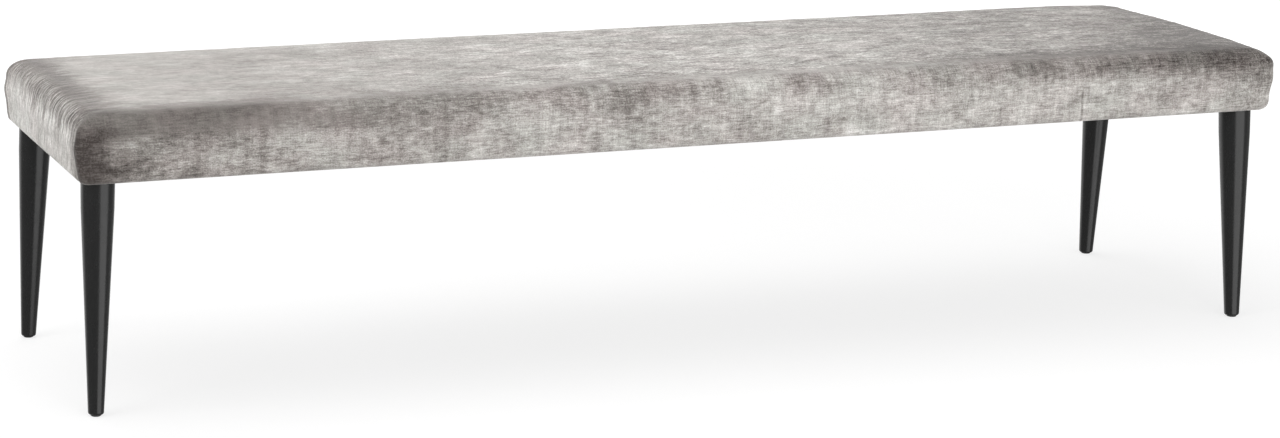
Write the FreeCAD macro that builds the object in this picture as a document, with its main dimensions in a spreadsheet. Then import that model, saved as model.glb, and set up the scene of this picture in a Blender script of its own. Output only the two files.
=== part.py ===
# A long upholstered bench: one box-shaped padded seat on four turned, slightly splayed tapered legs.
# The frame stands on the floor at Z = 0 with its centre at X = 0, Y = 0. X runs along the bench, the
# front faces -Y and Z is up. All lengths are in millimetres.
import FreeCAD, Part
import math
import os
import re

import Sketcher
from FreeCAD import Placement, Rotation, Vector

FULL_TURN = 360
RIGHT_ANGLE = 90

# Driving dimensions: name, value and what it sizes
SIZES = (
    ("seat_length", 2100, "length over the upholstered ends, without their bulge"),
    ("seat_depth", 520, "depth over the upholstered front and back, without their bulge"),
    ("seat_underside", 370, "floor to the cloth under the frame"),
    ("foam_thick", 40, "foam at the middle of the seat"),
    ("foam_round", 21.2, "roundover along the foam's top edges"),
    ("crown_rise", 3, "how far the top rises from its edges to its middle"),
    ("frame_corner", 5.2, "plan radius of the frame's upright corners"),
    ("side_bulge", 3, "how far the padded sides swell at mid height"),
    ("tuck_in", 12, "how far the lower edge draws in under the seat"),
    ("tuck_up", 16, "height over which the lower edge draws in"),
    ("cover_thick", 1.2, "velvet with its backing"),
    ("return_past", 15.2, "cloth turned under the frame, past its staples"),
    ("wadding_thick", 7, "polyester wadding between foam and velvet"),
    ("wadding_hem", 8, "height of the wadding's lower edge over the seat's underside"),
    ("layer_gap", 0.3, "clearance between two soft layers"),
    ("dust_thick", 0.5, "black non-woven sheet under the frame"),
    ("mitre_gap", 0.4, "gap between the cloth's turned edges at each corner"),
    ("dust_hem", 3, "dust cover outside its staples"),
    ("rail_thick", 20, "beech rails"),
    ("rail_height", 50, "beech rails on edge"),
    ("rail_arris", 5.5, "rounded lower outer edge of the rails"),
    ("board_thick", 10, "plywood seat board"),
    ("block_side", 75, "corner blocks in plan"),
    ("block_drop", 5, "top of a corner block under the seat board"),
    ("tube_drop", 10, "top of a stiffening tube under the seat board"),
    ("tube_width", 20, "steel stiffening tubes"),
    ("tube_wall", 2, "steel stiffening tubes"),
    ("end_play", 0.5, "clearance at each end of a stiffening tube"),
    ("bolt_off_end", 11.2, "middle of a leg's bolt from the inside of the end rail"),
    ("bolt_off_side", 19.2, "middle of a leg's bolt from the inside of the long rail"),
    ("splay_along", 12, "how far a foot stands outside its head, along the bench"),
    ("splay_across", 22, "how far a foot stands outside its head, across the bench"),
    ("leg_head_radius", 26.8, "turned leg at its top"),
    ("leg_shoulder_draw", 0.7, "how much slimmer a leg is where its taper begins"),
    ("leg_shoulder_drop", 44, "taper's start below the leg's top"),
    ("leg_foot_radius", 12.5, "turned leg at its foot"),
    ("leg_foot_round", 4, "rounded edge of the foot"),
    ("glide_thick", 3, "plastic floor glide"),
    ("glide_round", 1, "lower edge of the glide"),
    ("nail_radius", 1.2, "nail of a glide"),
    ("nail_length", 16, "nail of a glide, over the glide's sole"),
    ("nail_head_radius", 3.5, "nail of a glide"),
    ("nail_head_thick", 1, "nail of a glide"),
    ("glide_web", 0.9, "plastic between a nail's head and the foot"),
    ("bolt_radius", 4, "hanger bolt between a leg and the frame"),
    ("bolt_in_leg", 40, "hanger bolt in the leg"),
    ("bolt_past_insert", 2.3, "hanger bolt above its insert"),
    ("bore_end", 2, "bore of a corner block above its bolt"),
    ("bolt_point", 6, "tapered lower end of the hanger bolt"),
    ("bolt_tip_radius", 1, "lower end of the hanger bolt"),
    ("insert_radius", 6, "threaded insert in a corner block"),
    ("insert_length", 20, "threaded insert in a corner block"),
    ("screw_fit", 0.1, "clearance round screws, bolts, nails and inserts"),
    ("frame_screw_radius", 2.5, "screws of the frame"),
    ("frame_screw_head", 4.8, "head radius"),
    ("frame_screw_length", 70, "screws of the frame"),
    ("board_screw_radius", 2, "screws of the seat board"),
    ("board_screw_head", 4, "head radius"),
    ("board_screw_length", 25, "screws of the seat board"),
    ("low_screw_height", 13, "lower screws over the rails' lower edge"),
    ("high_screw_height", 29, "upper screws over the rails' lower edge"),
    ("block_screw_edge", 18, "screws of a corner block, from the block's inner side"),
    ("staple_crown", 10, "width of a staple"),
    ("staple_wire", 0.7, "thickness of staple wire"),
    ("staple_leg", 9, "length of a staple's legs"),
    ("staple_fit", 0.05, "clearance round a staple's legs"),
    ("cover_staple_edge", 2, "row of cover staples, from the rails' inner side"),
    ("dust_staple_edge", 9, "row of dust cover staples, from the rails' inner side"),
    ("cover_staple_pitch", 60, "distance between cover staples"),
    ("dust_staple_pitch", 80, "distance between dust cover staples"),
    ("staple_margin", 4, "cloth kept free of staples round a leg's head"),
    ("overrun", 5, "how far a cutting shape runs past what it cuts"),
)

# Heights of the crowned top, as shares of the way in from the roundover and of the crown's rise
CROWN_SHARES = ((0.12, 0.40), (0.35, 0.80), (0.65, 0.97), (0.90, 1.0))
# The plan radius of a corner at the top of the roundover, as a share of its radius on the side
CORNER_TOP_SHARE = 0.5
# How far a corner's mitre reaches out into the turned cloth, as a share of its width
MITRE_SHARE = 0.9
# A screw's countersunk head, and its point, as shares of its own radii
HEAD_HEIGHT_SHARE = 1.0
POINT_LENGTH_SHARE = 2.5
TIP_RADIUS_SHARE = 0.12

# Counts of pieces, and of the steps along a curved side
CROSS_RAILS = 4
BOARD_SCREWS_LONG = 8
TUCK_STEPS = 4
SIDE_STEPS = 4
ROUND_STEPS = 5
# Places closer than this count as the same
SAME_PLACE = 0.01

doc = FreeCAD.newDocument("bench")
sheet = doc.addObject("Spreadsheet::Sheet", "sizes")
for row, (alias, value, note) in enumerate(SIZES, start=1):
    sheet.set(f"A{row}", alias.replace("_", " "))
    sheet.set(f"B{row}", str(value))
    sheet.set(f"C{row}", note)
    sheet.setAlias(f"B{row}", alias)
doc.recompute()


class Values:
    """The sheet's numbers, read by their names."""

    def __getattr__(self, alias):
        return float(sheet.get(alias))


size = Values()
pieces = []


def bound(text):
    """An expression on the sheet, from one written with the bare names of its cells."""
    names = "|".join(alias for alias, _, _ in SIZES)
    return re.sub(rf"\b({names})\b", r"sizes.\1", text)


def bind(owner, name, text):
    owner.setExpression(name, bound(text))


def place(owner, along, across, up):
    """Binds where an object stands."""
    for axis, text in zip("xyz", (along, across, up)):
        bind(owner, f".Placement.Base.{axis}", text)


def keep(owner, label):
    """Counts an object as one of the bench's pieces."""
    owner.Label = label
    pieces.append(owner)
    return owner


# Levels and places that several pieces share, as expressions on the sheet
FRAME_INSET = "(cover_thick + wadding_thick + layer_gap * 2)"
HALF_FRAME = f"(seat_length / 2 - {FRAME_INSET})"
HALF_FRAME_ACROSS = f"(seat_depth / 2 - {FRAME_INSET})"
RAIL_BOTTOM = "(seat_underside + cover_thick)"
LEG_TOP = "(seat_underside - dust_thick)"
HEAD_ALONG = f"({HALF_FRAME} - rail_thick - bolt_off_end)"
HEAD_ACROSS = f"({HALF_FRAME_ACROSS} - rail_thick - bolt_off_side)"
BOLT_IN_FRAME = "(dust_thick + cover_thick + insert_length + bolt_past_insert)"
GLIDE_RADIUS = "(leg_foot_radius - leg_foot_round)"
DUST_STAPLE_INSET = f"({FRAME_INSET} + rail_thick - dust_staple_edge)"

frame_inset = size.cover_thick + size.wadding_thick + size.layer_gap * 2
half_frame = size.seat_length / 2 - frame_inset
half_frame_across = size.seat_depth / 2 - frame_inset
rail_bottom = size.seat_underside + size.cover_thick
rail_top = rail_bottom + size.rail_height
board_top = rail_top + size.board_thick
seat_height = board_top + size.foam_thick + frame_inset
top_round = size.foam_round + frame_inset
corner_round = size.frame_corner + frame_inset
leg_top = size.seat_underside - size.dust_thick
head_along = half_frame - size.rail_thick - size.bolt_off_end
head_across = half_frame_across - size.rail_thick - size.bolt_off_side
cover_staple_inset = frame_inset + size.rail_thick - size.cover_staple_edge
dust_staple_inset = frame_inset + size.rail_thick - size.dust_staple_edge
return_edge = cover_staple_inset + size.return_past
nail_sunk = size.glide_thick - size.glide_web - size.nail_head_thick - size.screw_fit
splay = math.hypot(size.splay_along, size.splay_across)
lean = math.atan2(splay, leg_top - size.glide_thick)
CORNERS = (("front_left", -1, -1), ("front_right", 1, -1), ("back_left", -1, 1), ("back_right", 1, 1))


def plane(body, role):
    return next(item for item in body.Origin.OriginFeatures if item.Role == role)


def sketch_on(body, role, name):
    sketch = body.newObject("Sketcher::SketchObject", name)
    sketch.AttachmentSupport = [(plane(body, role), "")]
    sketch.MapMode = "FlatFace"
    return sketch


def outline(sketch, corners):
    """Draws a closed outline of straight sides. Each corner is two expressions, or None on an axis."""
    count = len(corners)
    for index in range(count):
        start = Vector(index, index, 0)
        end = Vector(index + 1, index + 2, 0)
        sketch.addGeometry(Part.LineSegment(start, end), False)
    for index in range(count):
        sketch.addConstraint(Sketcher.Constraint("Coincident", index, 2, (index + 1) % count, 1))
    for index, texts in enumerate(corners):
        for text, kind, axis in zip(texts, ("DistanceX", "DistanceY"), (-2, -1)):
            if text is None:
                sketch.addConstraint(Sketcher.Constraint("PointOnObject", index, 1, axis))
                continue
            at = sketch.addConstraint(Sketcher.Constraint(kind, -1, 1, index, 1, 1.0))
            bind(sketch, f"Constraints[{at}]", text)


def edges_where(shape, test):
    return [f"Edge{number}" for number, edge in enumerate(shape.Edges, start=1) if test(edge)]


def turned(name, corners):
    """A body turned about its own Z axis from a half section of (radius, height) corners."""
    body = doc.addObject("PartDesign::Body", name)
    sketch = sketch_on(body, "XZ_Plane", name + "_section")
    outline(sketch, corners)
    turning = body.newObject("PartDesign::Revolution", name + "_turning")
    turning.Profile = sketch
    turning.ReferenceAxis = (sketch, ["V_Axis"])
    turning.Angle = FULL_TURN
    sketch.Visibility = False
    return body, turning


def block(name, length, width, height):
    """A body padded from a rectangle that starts at its own origin."""
    body = doc.addObject("PartDesign::Body", name)
    sketch = sketch_on(body, "XY_Plane", name + "_outline")
    outline(sketch, ((None, None), (length, None), (length, width), (None, width)))
    pad = body.newObject("PartDesign::Pad", name + "_pad")
    pad.Profile = sketch
    bind(pad, "Length", height)
    sketch.Visibility = False
    return body, pad


def rounded(body, before, name, radius, test):
    """Rounds the edges of a body's last feature that pass a test."""
    doc.recompute()
    fillet = body.newObject("PartDesign::Fillet", name)
    fillet.Base = (before, edges_where(before.Shape, test))
    bind(fillet, "Radius", radius)
    doc.recompute()
    return fillet


def revolved(corners):
    """A plain turned solid from (radius, height) corners that start and end on the axis."""
    points = [Vector(radius, 0, height) for radius, height in corners]
    face = Part.Face(Part.makePolygon(points + points[:1]))
    return face.revolve(Vector(0, 0, 0), Vector(0, 0, 1), FULL_TURN)


def screw(radius, head, length, fit=0.0):
    """A countersunk wood screw with its head's face at Z = 0 and its point down."""
    sink = head * HEAD_HEIGHT_SHARE
    point = radius * POINT_LENGTH_SHARE
    tip = radius * TIP_RADIUS_SHARE
    return revolved(
        (
            (0, 0),
            (head + fit, 0),
            (radius + fit, -sink),
            (radius + fit, -(length - point)),
            (tip + fit, -(length + fit)),
            (0, -(length + fit)),
        )
    )


def moved(shape, at, direction=Vector(0, 0, 1)):
    """A copy of a shape whose own Z axis points in a direction."""
    copy = shape.copy()
    copy.Placement = Placement(at, Rotation(Vector(0, 0, 1), direction))
    return copy


def feature(name, shape):
    """An object that holds a finished shape."""
    holder = doc.addObject("Part::Feature", name)
    holder.Shape = shape
    return holder


def cut_by(label, base, *groups):
    """A piece cut from a blank by those holes of each group that reach into it."""
    doc.recompute()
    box = base.Shape.BoundBox
    reaching = [hole for group in groups for hole in group if hole.BoundBox.intersect(box)]
    cut = doc.addObject("Part::Cut", label + "_cut")
    cut.Base = base
    cut.Tool = feature(label + "_holes", Part.makeCompound(reaching))
    return keep(cut, label)


def spread(half, count):
    """Evenly spaced places from -half to half."""
    return [half * (2 * index / (count - 1) - 1) for index in range(count)]


def spaced(half, pitch):
    """Places no further apart than a pitch, from -half to half."""
    return spread(half, int(math.ceil(2 * half / pitch)) + 1)


def section_wire(inset, height, radius):
    """A level rounded rectangle, drawn in from the seat's sides, as four lines and four arcs."""
    half_x = size.seat_length / 2 - inset
    half_y = size.seat_depth / 2 - inset
    round_x = half_x - radius
    round_y = half_y - radius
    diagonal = radius * math.sqrt(0.5)
    edges = []
    for side_x, side_y in ((1, -1), (1, 1), (-1, 1), (-1, -1)):
        centre = Vector(side_x * round_x, side_y * round_y, height)
        on_end = centre + Vector(side_x * radius, 0, 0)
        on_long = centre + Vector(0, side_y * radius, 0)
        middle = centre + Vector(side_x * diagonal, side_y * diagonal, 0)
        first, last = (on_long, on_end) if side_x == -side_y else (on_end, on_long)
        edges.append((first, middle, last))
    wire = []
    for index, (first, middle, last) in enumerate(edges):
        following = edges[(index + 1) % len(edges)][0]
        wire.append(Part.Arc(first, middle, last).toShape())
        wire.append(Part.LineSegment(last, following).toShape())
    return Part.Wire(wire)


def seat_form(offset, bottom, bulge, tuck):
    """A closed padded box, drawn in by an offset from the seat's outer face on its sides and top.

    bulge is how far its sides swell. tuck is how far the lower edge draws in at the seat's underside,
    and a form that starts above the underside has what is left of it.
    """
    edge = seat_height - size.crown_rise - offset
    radius = top_round - offset
    corner = corner_round - offset
    shoulder = edge - radius
    rings = []
    side_start = bottom
    if tuck:
        side_start = size.seat_underside + size.tuck_up
        rise = size.tuck_up
        first = math.acos(1 - (bottom - size.seat_underside) / rise)
        for step in range(TUCK_STEPS):
            angle = first + (math.pi / 2 - first) * step / TUCK_STEPS
            rings.append((tuck * (1 - math.sin(angle)), side_start - rise * math.cos(angle)))
    for step in range(SIDE_STEPS):
        share = step / SIDE_STEPS
        swell = bulge * (1 - math.cos(2 * math.pi * share)) / 2
        rings.append((-swell, side_start + (shoulder - side_start) * share))
    for step in range(ROUND_STEPS + 1):
        angle = math.pi / 2 * step / ROUND_STEPS
        rings.append((radius * (1 - math.cos(angle)), shoulder + radius * math.sin(angle)))
    inner = size.seat_depth / 2 - offset - radius
    for in_share, up_share in CROWN_SHARES:
        rings.append((radius + inner * in_share, edge + size.crown_rise * up_share))
    wires = []
    for inset, height in rings:
        closing = min(max(inset / radius, 0), 1) * (1 - CORNER_TOP_SHARE)
        wires.append(section_wire(offset + inset, height, corner * (1 - closing)))
    return Part.makeLoft(wires, True, True)


def slab(half_x, half_y, low, high):
    """A level box about the middle of the bench."""
    box = Part.makeBox(2 * half_x, 2 * half_y, high - low)
    box.translate(Vector(-half_x, -half_y, low))
    return box


# Places of the screws, each with its head's middle and the way that its head faces
cross_places = spread((half_frame - size.rail_thick) * (CROSS_RAILS - 1) / (CROSS_RAILS + 1), CROSS_RAILS)
block_screw_place = size.block_side - size.block_screw_edge
low_screw = rail_bottom + size.low_screw_height
high_screw = rail_bottom + size.high_screw_height
middle_screw = (low_screw + high_screw) / 2


def frame_screw_places():
    inner_end = half_frame - size.rail_thick
    inner_side = half_frame_across - size.rail_thick
    for level in (low_screw, high_screw):
        for side in (-1, 1):
            outward = Vector(0, side, 0)
            face = side * half_frame_across
            for along in cross_places:
                yield Vector(along, face, level), outward
            for end in (-1, 1):
                yield Vector(end * (half_frame - size.rail_thick / 2), face, level), outward
                yield Vector(end * (inner_end - block_screw_place), face, level), outward
    for side in (-1, 1):
        for end in (-1, 1):
            across = side * (inner_side - block_screw_place - size.frame_screw_head)
            yield Vector(end * half_frame, across, middle_screw), Vector(end, 0, 0)


def board_screw_places():
    up = Vector(0, 0, 1)
    side = half_frame_across - size.rail_thick / 2
    for along in spread(half_frame - size.rail_thick - size.block_side / 2, BOARD_SCREWS_LONG):
        for sign in (-1, 1):
            yield Vector(along, sign * side, board_top), up
    for along in cross_places:
        yield Vector(along, 0, board_top), up
    for end in (-1, 1):
        yield Vector(end * (half_frame - size.rail_thick / 2), 0, board_top), up


def screw_group(places, radius, head, length, fit=0.0):
    pattern = screw(radius, head, length, fit)
    return [moved(pattern, at, direction) for at, direction in places]


frame_screw_sizes = (size.frame_screw_radius, size.frame_screw_head, size.frame_screw_length)
board_screw_sizes = (size.board_screw_radius, size.board_screw_head, size.board_screw_length)
frame_holes = screw_group(frame_screw_places(), *frame_screw_sizes, size.screw_fit)
board_holes = screw_group(board_screw_places(), *board_screw_sizes, size.screw_fit)


def staple(fit=0.0):
    """A staple with its crown's outer face at Z = 0, its legs up and its width along X."""
    half = size.staple_crown / 2
    wire = size.staple_wire
    legs = []
    for side in (-1, 1):
        leg = Part.makeBox(wire + 2 * fit, wire + 2 * fit, size.staple_leg + wire + fit)
        leg.translate(Vector(side * (half - wire / 2) - wire / 2 - fit, -wire / 2 - fit, 0))
        legs.append(leg)
    crown = Part.makeBox(2 * half + 2 * fit, wire + 2 * fit, wire + fit)
    crown.translate(Vector(-half - fit, -wire / 2 - fit, 0))
    return crown.fuse(legs).removeSplitter()


def staple_group(inset, pitch, level, clear_of_legs, fit=0.0):
    """Rows of staples round the underside of the rails, at one distance from the seat's sides."""
    pattern = staple(fit)
    half_x = size.seat_length / 2 - inset
    half_y = size.seat_depth / 2 - inset
    spots = []
    for along in spaced(half_x - size.staple_crown, pitch):
        spots += [(along, -half_y, 0), (along, half_y, 0)]
    for across in spaced(half_y - size.staple_crown * 2, pitch):
        spots += [(-half_x, across, RIGHT_ANGLE), (half_x, across, RIGHT_ANGLE)]
    solids = []
    keep_off = size.leg_head_radius + size.staple_crown / 2 + size.staple_margin
    for along, across, turn in spots:
        reach = math.hypot(abs(along) - head_along, abs(across) - head_across)
        if clear_of_legs and reach < keep_off:
            continue
        copy = pattern.copy()
        copy.Placement = Placement(Vector(along, across, level), Rotation(Vector(0, 0, 1), turn))
        solids.append(copy)
    return solids


cover_row = (cover_staple_inset, size.cover_staple_pitch, size.seat_underside, False)
dust_row = (dust_staple_inset, size.dust_staple_pitch, leg_top - size.staple_wire, True)
cover_slots = staple_group(*cover_row, size.staple_fit)
dust_slots = staple_group(*dust_row, size.staple_fit)


def make_long_rail(label, side):
    """A long rail, whose lower outer edges are rounded for the cloth that is pulled round them."""
    body, pad = block(label + "_blank", f"{HALF_FRAME} * 2", "rail_thick", "rail_height")
    outer = 0 if side < 0 else size.rail_thick
    ends = (0, 2 * half_frame)

    def upright_corner(edge):
        box = edge.BoundBox
        at_end = min(abs(box.Center.x - end) for end in ends) < SAME_PLACE
        return at_end and box.ZLength > size.rail_height / 2 and abs(box.Center.y - outer) < SAME_PLACE

    def lower_outer(edge):
        box = edge.BoundBox
        low = box.ZMax < SAME_PLACE
        inner = size.rail_thick - outer
        along_inner = abs(box.Center.y - inner) < SAME_PLACE and box.XLength > size.rail_thick
        return low and not along_inner

    corners = rounded(body, pad, label + "_corners", "frame_corner", upright_corner)
    body.Tip = rounded(body, corners, label + "_arris", "rail_arris", lower_outer)
    inner_face = "" if side < 0 else " - rail_thick"
    sign = "-" if side < 0 else ""
    place(body, f"-{HALF_FRAME}", f"{sign}{HALF_FRAME_ACROSS}{inner_face}", RAIL_BOTTOM)
    return cut_by(label, body, frame_holes, board_holes, cover_slots, dust_slots)


def make_end_rail(label, end):
    """An end rail, which stands between the long ones."""
    length = f"({HALF_FRAME_ACROSS} - rail_thick) * 2"
    body, pad = block(label + "_blank", "rail_thick", length, "rail_height")
    outer = 0 if end < 0 else size.rail_thick

    def lower_outer(edge):
        box = edge.BoundBox
        return box.ZMax < SAME_PLACE and abs(box.Center.x - outer) < SAME_PLACE

    body.Tip = rounded(body, pad, label + "_arris", "rail_arris", lower_outer)
    start = f"-{HALF_FRAME}" if end < 0 else f"{HALF_FRAME} - rail_thick"
    place(body, start, f"rail_thick - {HALF_FRAME_ACROSS}", RAIL_BOTTOM)
    return cut_by(label, body, frame_holes, board_holes, cover_slots, dust_slots)


def make_cross_rail(number):
    """A rail across the seat, between the two stiffening tubes."""
    label = f"cross_rail_{number}"
    length = f"({HALF_FRAME_ACROSS} - rail_thick - tube_width) * 2"
    body, _ = block(label + "_blank", "rail_thick", length, "rail_height")
    place(
        body,
        f"({HALF_FRAME} - rail_thick) * {2 * number - 1 - CROSS_RAILS} / {CROSS_RAILS + 1} - rail_thick / 2",
        f"rail_thick + tube_width - {HALF_FRAME_ACROSS}",
        RAIL_BOTTOM,
    )
    return cut_by(label, body, frame_holes, board_holes)


def make_corner_block(name, end, side):
    """A corner block with the bore of its threaded insert."""
    label = "corner_block_" + name
    body, pad = block(label + "_blank", "block_side", "block_side", "rail_height - block_drop")
    doc.recompute()
    sketch = sketch_on(body, "XY_Plane", label + "_bore_outline")
    sketch.addGeometry(Part.Circle(Vector(1, 1, 0), Vector(0, 0, 1), 1), False)
    near_x = "bolt_off_end" if end < 0 else "block_side - bolt_off_end"
    near_y = "bolt_off_side" if side < 0 else "block_side - bolt_off_side"
    texts = (("DistanceX", near_x), ("DistanceY", near_y))
    for kind, text in texts:
        at = sketch.addConstraint(Sketcher.Constraint(kind, -1, 1, 0, 3, 1.0))
        bind(sketch, f"Constraints[{at}]", text)
    at = sketch.addConstraint(Sketcher.Constraint("Radius", 0, 1.0))
    bind(sketch, f"Constraints[{at}]", "insert_radius + screw_fit")
    bore = body.newObject("PartDesign::Pocket", label + "_bore")
    bore.Profile = sketch
    bore.Reversed = True
    bind(bore, "Length", "insert_length + bolt_past_insert + bore_end")
    before = pad.Shape.Volume
    doc.recompute()
    if bore.Shape.Volume >= before:
        raise RuntimeError(label + ": the bore cuts nothing")
    body.Tip = bore
    start_x = f"rail_thick - {HALF_FRAME}" if end < 0 else f"{HALF_FRAME} - rail_thick - block_side"
    start_y = (
        f"rail_thick - {HALF_FRAME_ACROSS}" if side < 0 else f"{HALF_FRAME_ACROSS} - rail_thick - block_side"
    )
    place(body, start_x, start_y, RAIL_BOTTOM)
    return cut_by(label, body, frame_holes)


def make_tube(label, side):
    """A rectangular steel tube inside a long rail, from one corner block to the other."""
    half = f"({HALF_FRAME} - rail_thick - block_side - end_play)"
    height = "(rail_height - tube_drop)"
    outside, _ = block(label + "_outside", f"{half} * 2", "tube_width", height)
    inside, _ = block(
        label + "_inside", f"({half} + overrun) * 2", "tube_width - tube_wall * 2", f"{height} - tube_wall * 2"
    )
    near = f"rail_thick - {HALF_FRAME_ACROSS}"
    far = f"{HALF_FRAME_ACROSS} - rail_thick - tube_width"
    start = near if side < 0 else far
    place(outside, f"-{half}", start, RAIL_BOTTOM)
    place(inside, f"-{half} - overrun", f"{start} + tube_wall", f"{RAIL_BOTTOM} + tube_wall")
    hollow = doc.addObject("Part::Cut", label + "_hollow")
    hollow.Base = outside
    hollow.Tool = inside
    return cut_by(label, hollow, frame_holes)


def make_seat_board():
    body, pad = block("seat_board_blank", f"{HALF_FRAME} * 2", f"{HALF_FRAME_ACROSS} * 2", "board_thick")

    def upright(edge):
        box = edge.BoundBox
        return box.ZLength > size.board_thick / 2

    body.Tip = rounded(body, pad, "seat_board_corners", "frame_corner", upright)
    place(body, f"-{HALF_FRAME}", f"-{HALF_FRAME_ACROSS}", f"{RAIL_BOTTOM} + rail_height")
    return cut_by("seat_board", body, board_holes)


# Clear holes for the hanger bolts, through the cloth under the frame
bolt_clear = [
    moved(
        Part.makeCylinder(size.insert_radius, size.cover_thick + size.dust_thick + size.overrun),
        Vector(end * head_along, side * head_across, leg_top - size.overrun),
    )
    for _, end, side in CORNERS
]


def make_soft_layers():
    """The foam, its wadding and the velvet, each drawn in from the one outside it."""
    foam = seat_form(frame_inset, board_top, 0, 0)
    keep(feature("seat_foam_block", foam), "seat_foam")
    hem = size.seat_underside + size.wadding_hem
    wadding = seat_form(size.cover_thick + size.layer_gap, hem, size.side_bulge, size.tuck_in)
    hollow = seat_form(frame_inset - size.layer_gap, hem - size.overrun, 0, 0)
    keep(feature("seat_wadding_wrap", wadding.cut(hollow)), "seat_wadding")
    outer = seat_form(0, size.seat_underside, size.side_bulge, size.tuck_in)
    inner = seat_form(size.cover_thick, rail_bottom, size.side_bulge, size.tuck_in)
    opening = slab(
        size.seat_length / 2 - return_edge,
        size.seat_depth / 2 - return_edge,
        size.seat_underside - size.overrun,
        rail_bottom + size.overrun,
    )
    return_width = return_edge - size.tuck_in
    mitres = []
    for _, end, side in CORNERS:
        slit = Part.makeBox(2 * return_edge, size.mitre_gap, size.cover_thick + size.overrun)
        slit.translate(Vector(0, -size.mitre_gap / 2, 0))
        corner = Vector(
            end * (size.seat_length / 2 - return_edge),
            side * (size.seat_depth / 2 - return_edge),
            rail_bottom - size.overrun - size.cover_thick,
        )
        slit.translate(Vector(-return_edge * 2 + return_width * MITRE_SHARE * math.sqrt(2), 0, 0))
        slit.rotate(Vector(0, 0, 0), Vector(0, 0, 1), math.degrees(math.atan2(side, end)))
        slit.translate(corner)
        mitres.append(slit)
    skin = feature("seat_cover_skin", outer.cut(inner).cut([opening] + mitres))
    cut_by("seat_cover", skin, cover_slots, dust_slots, bolt_clear)


def make_dust_cover():
    half_x = f"(seat_length / 2 - {DUST_STAPLE_INSET} + dust_hem)"
    half_y = f"(seat_depth / 2 - {DUST_STAPLE_INSET} + dust_hem)"
    body, _ = block("dust_cover_blank", f"{half_x} * 2", f"{half_y} * 2", "dust_thick")
    place(body, f"-{half_x}", f"-{half_y}", LEG_TOP)
    return cut_by("dust_cover", body, dust_slots, bolt_clear)


def make_leg(name, end, side):
    """A leg turned to a long taper, leaned outwards and sawn level at its head and its foot."""
    label = "leg_" + name
    leg_height = f"({LEG_TOP} - glide_thick)"
    lean_tan = f"(sqrt(splay_along ^ 2 + splay_across ^ 2) / {leg_height})"
    long = f"(sqrt(splay_along ^ 2 + splay_across ^ 2 + {leg_height} ^ 2))"
    spare_foot = f"(leg_foot_radius * {lean_tan})"
    spare_head = f"(leg_head_radius * {lean_tan} * 2)"
    total = f"{long} + {spare_foot} + {spare_head}"
    body, turning = turned(
        label + "_turning",
        (
            (None, None),
            ("leg_foot_radius", None),
            ("leg_head_radius - leg_shoulder_draw", f"{long} + {spare_foot} - leg_shoulder_drop"),
            ("leg_head_radius", total),
            (None, total),
        ),
    )

    def foot_edge(edge):
        box = edge.BoundBox
        return box.ZMax < size.leg_foot_round and box.XLength > size.leg_foot_radius

    body.Tip = rounded(body, turning, label + "_foot", "leg_foot_round", foot_edge)
    foot = Vector(end * (head_along + size.splay_along), side * (head_across + size.splay_across), size.glide_thick)
    head = Vector(end * head_along, side * head_across, leg_top)
    axis = head - foot
    axis.normalize()
    spare = size.leg_foot_radius * math.tan(lean)
    body.Placement = Placement(foot - axis * spare, Rotation(Vector(0, 0, 1), axis))
    level = doc.addObject("Part::Box", label + "_level_cuts")
    for prop, text in (("Length", "seat_length * 2"), ("Width", "seat_depth * 2")):
        bind(level, prop, text)
    bind(level, "Height", leg_height)
    place(level, "-seat_length", "-seat_depth", "glide_thick")
    sawn = doc.addObject("Part::Common", label + "_sawn")
    sawn.Base = body
    sawn.Tool = level
    bore_depth = size.bolt_in_leg + size.screw_fit
    bore = Part.makeCylinder(size.bolt_radius + size.screw_fit, bore_depth + size.overrun)
    bolt_hole = moved(bore, Vector(head.x, head.y, head.z - bore_depth))
    nail_reach = size.nail_length + size.screw_fit - size.glide_thick
    nail_bore = Part.makeCylinder(size.nail_radius + size.screw_fit, nail_reach + size.overrun)
    nail_hole = moved(nail_bore, foot - Vector(0, 0, size.overrun))
    return cut_by(label, sawn, [bolt_hole, nail_hole])


def make_hanger_bolt(name, end, side):
    """A hanger bolt: a wood thread down in the leg's head and a machine thread up in the insert."""
    label = "hanger_bolt_" + name
    long = f"(bolt_in_leg + {BOLT_IN_FRAME})"
    body, _ = turned(
        label,
        (
            (None, None),
            ("bolt_tip_radius", None),
            ("bolt_radius", "bolt_point"),
            ("bolt_radius", long),
            (None, long),
        ),
    )
    sign_x = "-" if end < 0 else ""
    sign_y = "-" if side < 0 else ""
    place(body, sign_x + HEAD_ALONG, sign_y + HEAD_ACROSS, f"{LEG_TOP} - bolt_in_leg")
    return keep(body, label)


def make_glide(name, end, side):
    """A plastic floor glide, with the sunk bore of its nail."""
    label = "floor_glide_" + name
    nail_bore = "nail_radius + screw_fit"
    head_bore = "nail_head_radius + screw_fit"
    head_level = "glide_thick - glide_web"
    body, _ = turned(
        label,
        (
            (head_bore, None),
            (f"{GLIDE_RADIUS} - glide_round", None),
            (GLIDE_RADIUS, "glide_round"),
            (GLIDE_RADIUS, "glide_thick"),
            (nail_bore, "glide_thick"),
            (nail_bore, head_level),
            (head_bore, head_level),
        ),
    )
    sign_x = "-" if end < 0 else ""
    sign_y = "-" if side < 0 else ""
    place(body, f"{sign_x}({HEAD_ALONG} + splay_along)", f"{sign_y}({HEAD_ACROSS} + splay_across)", "0")
    return keep(body, label)


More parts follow.
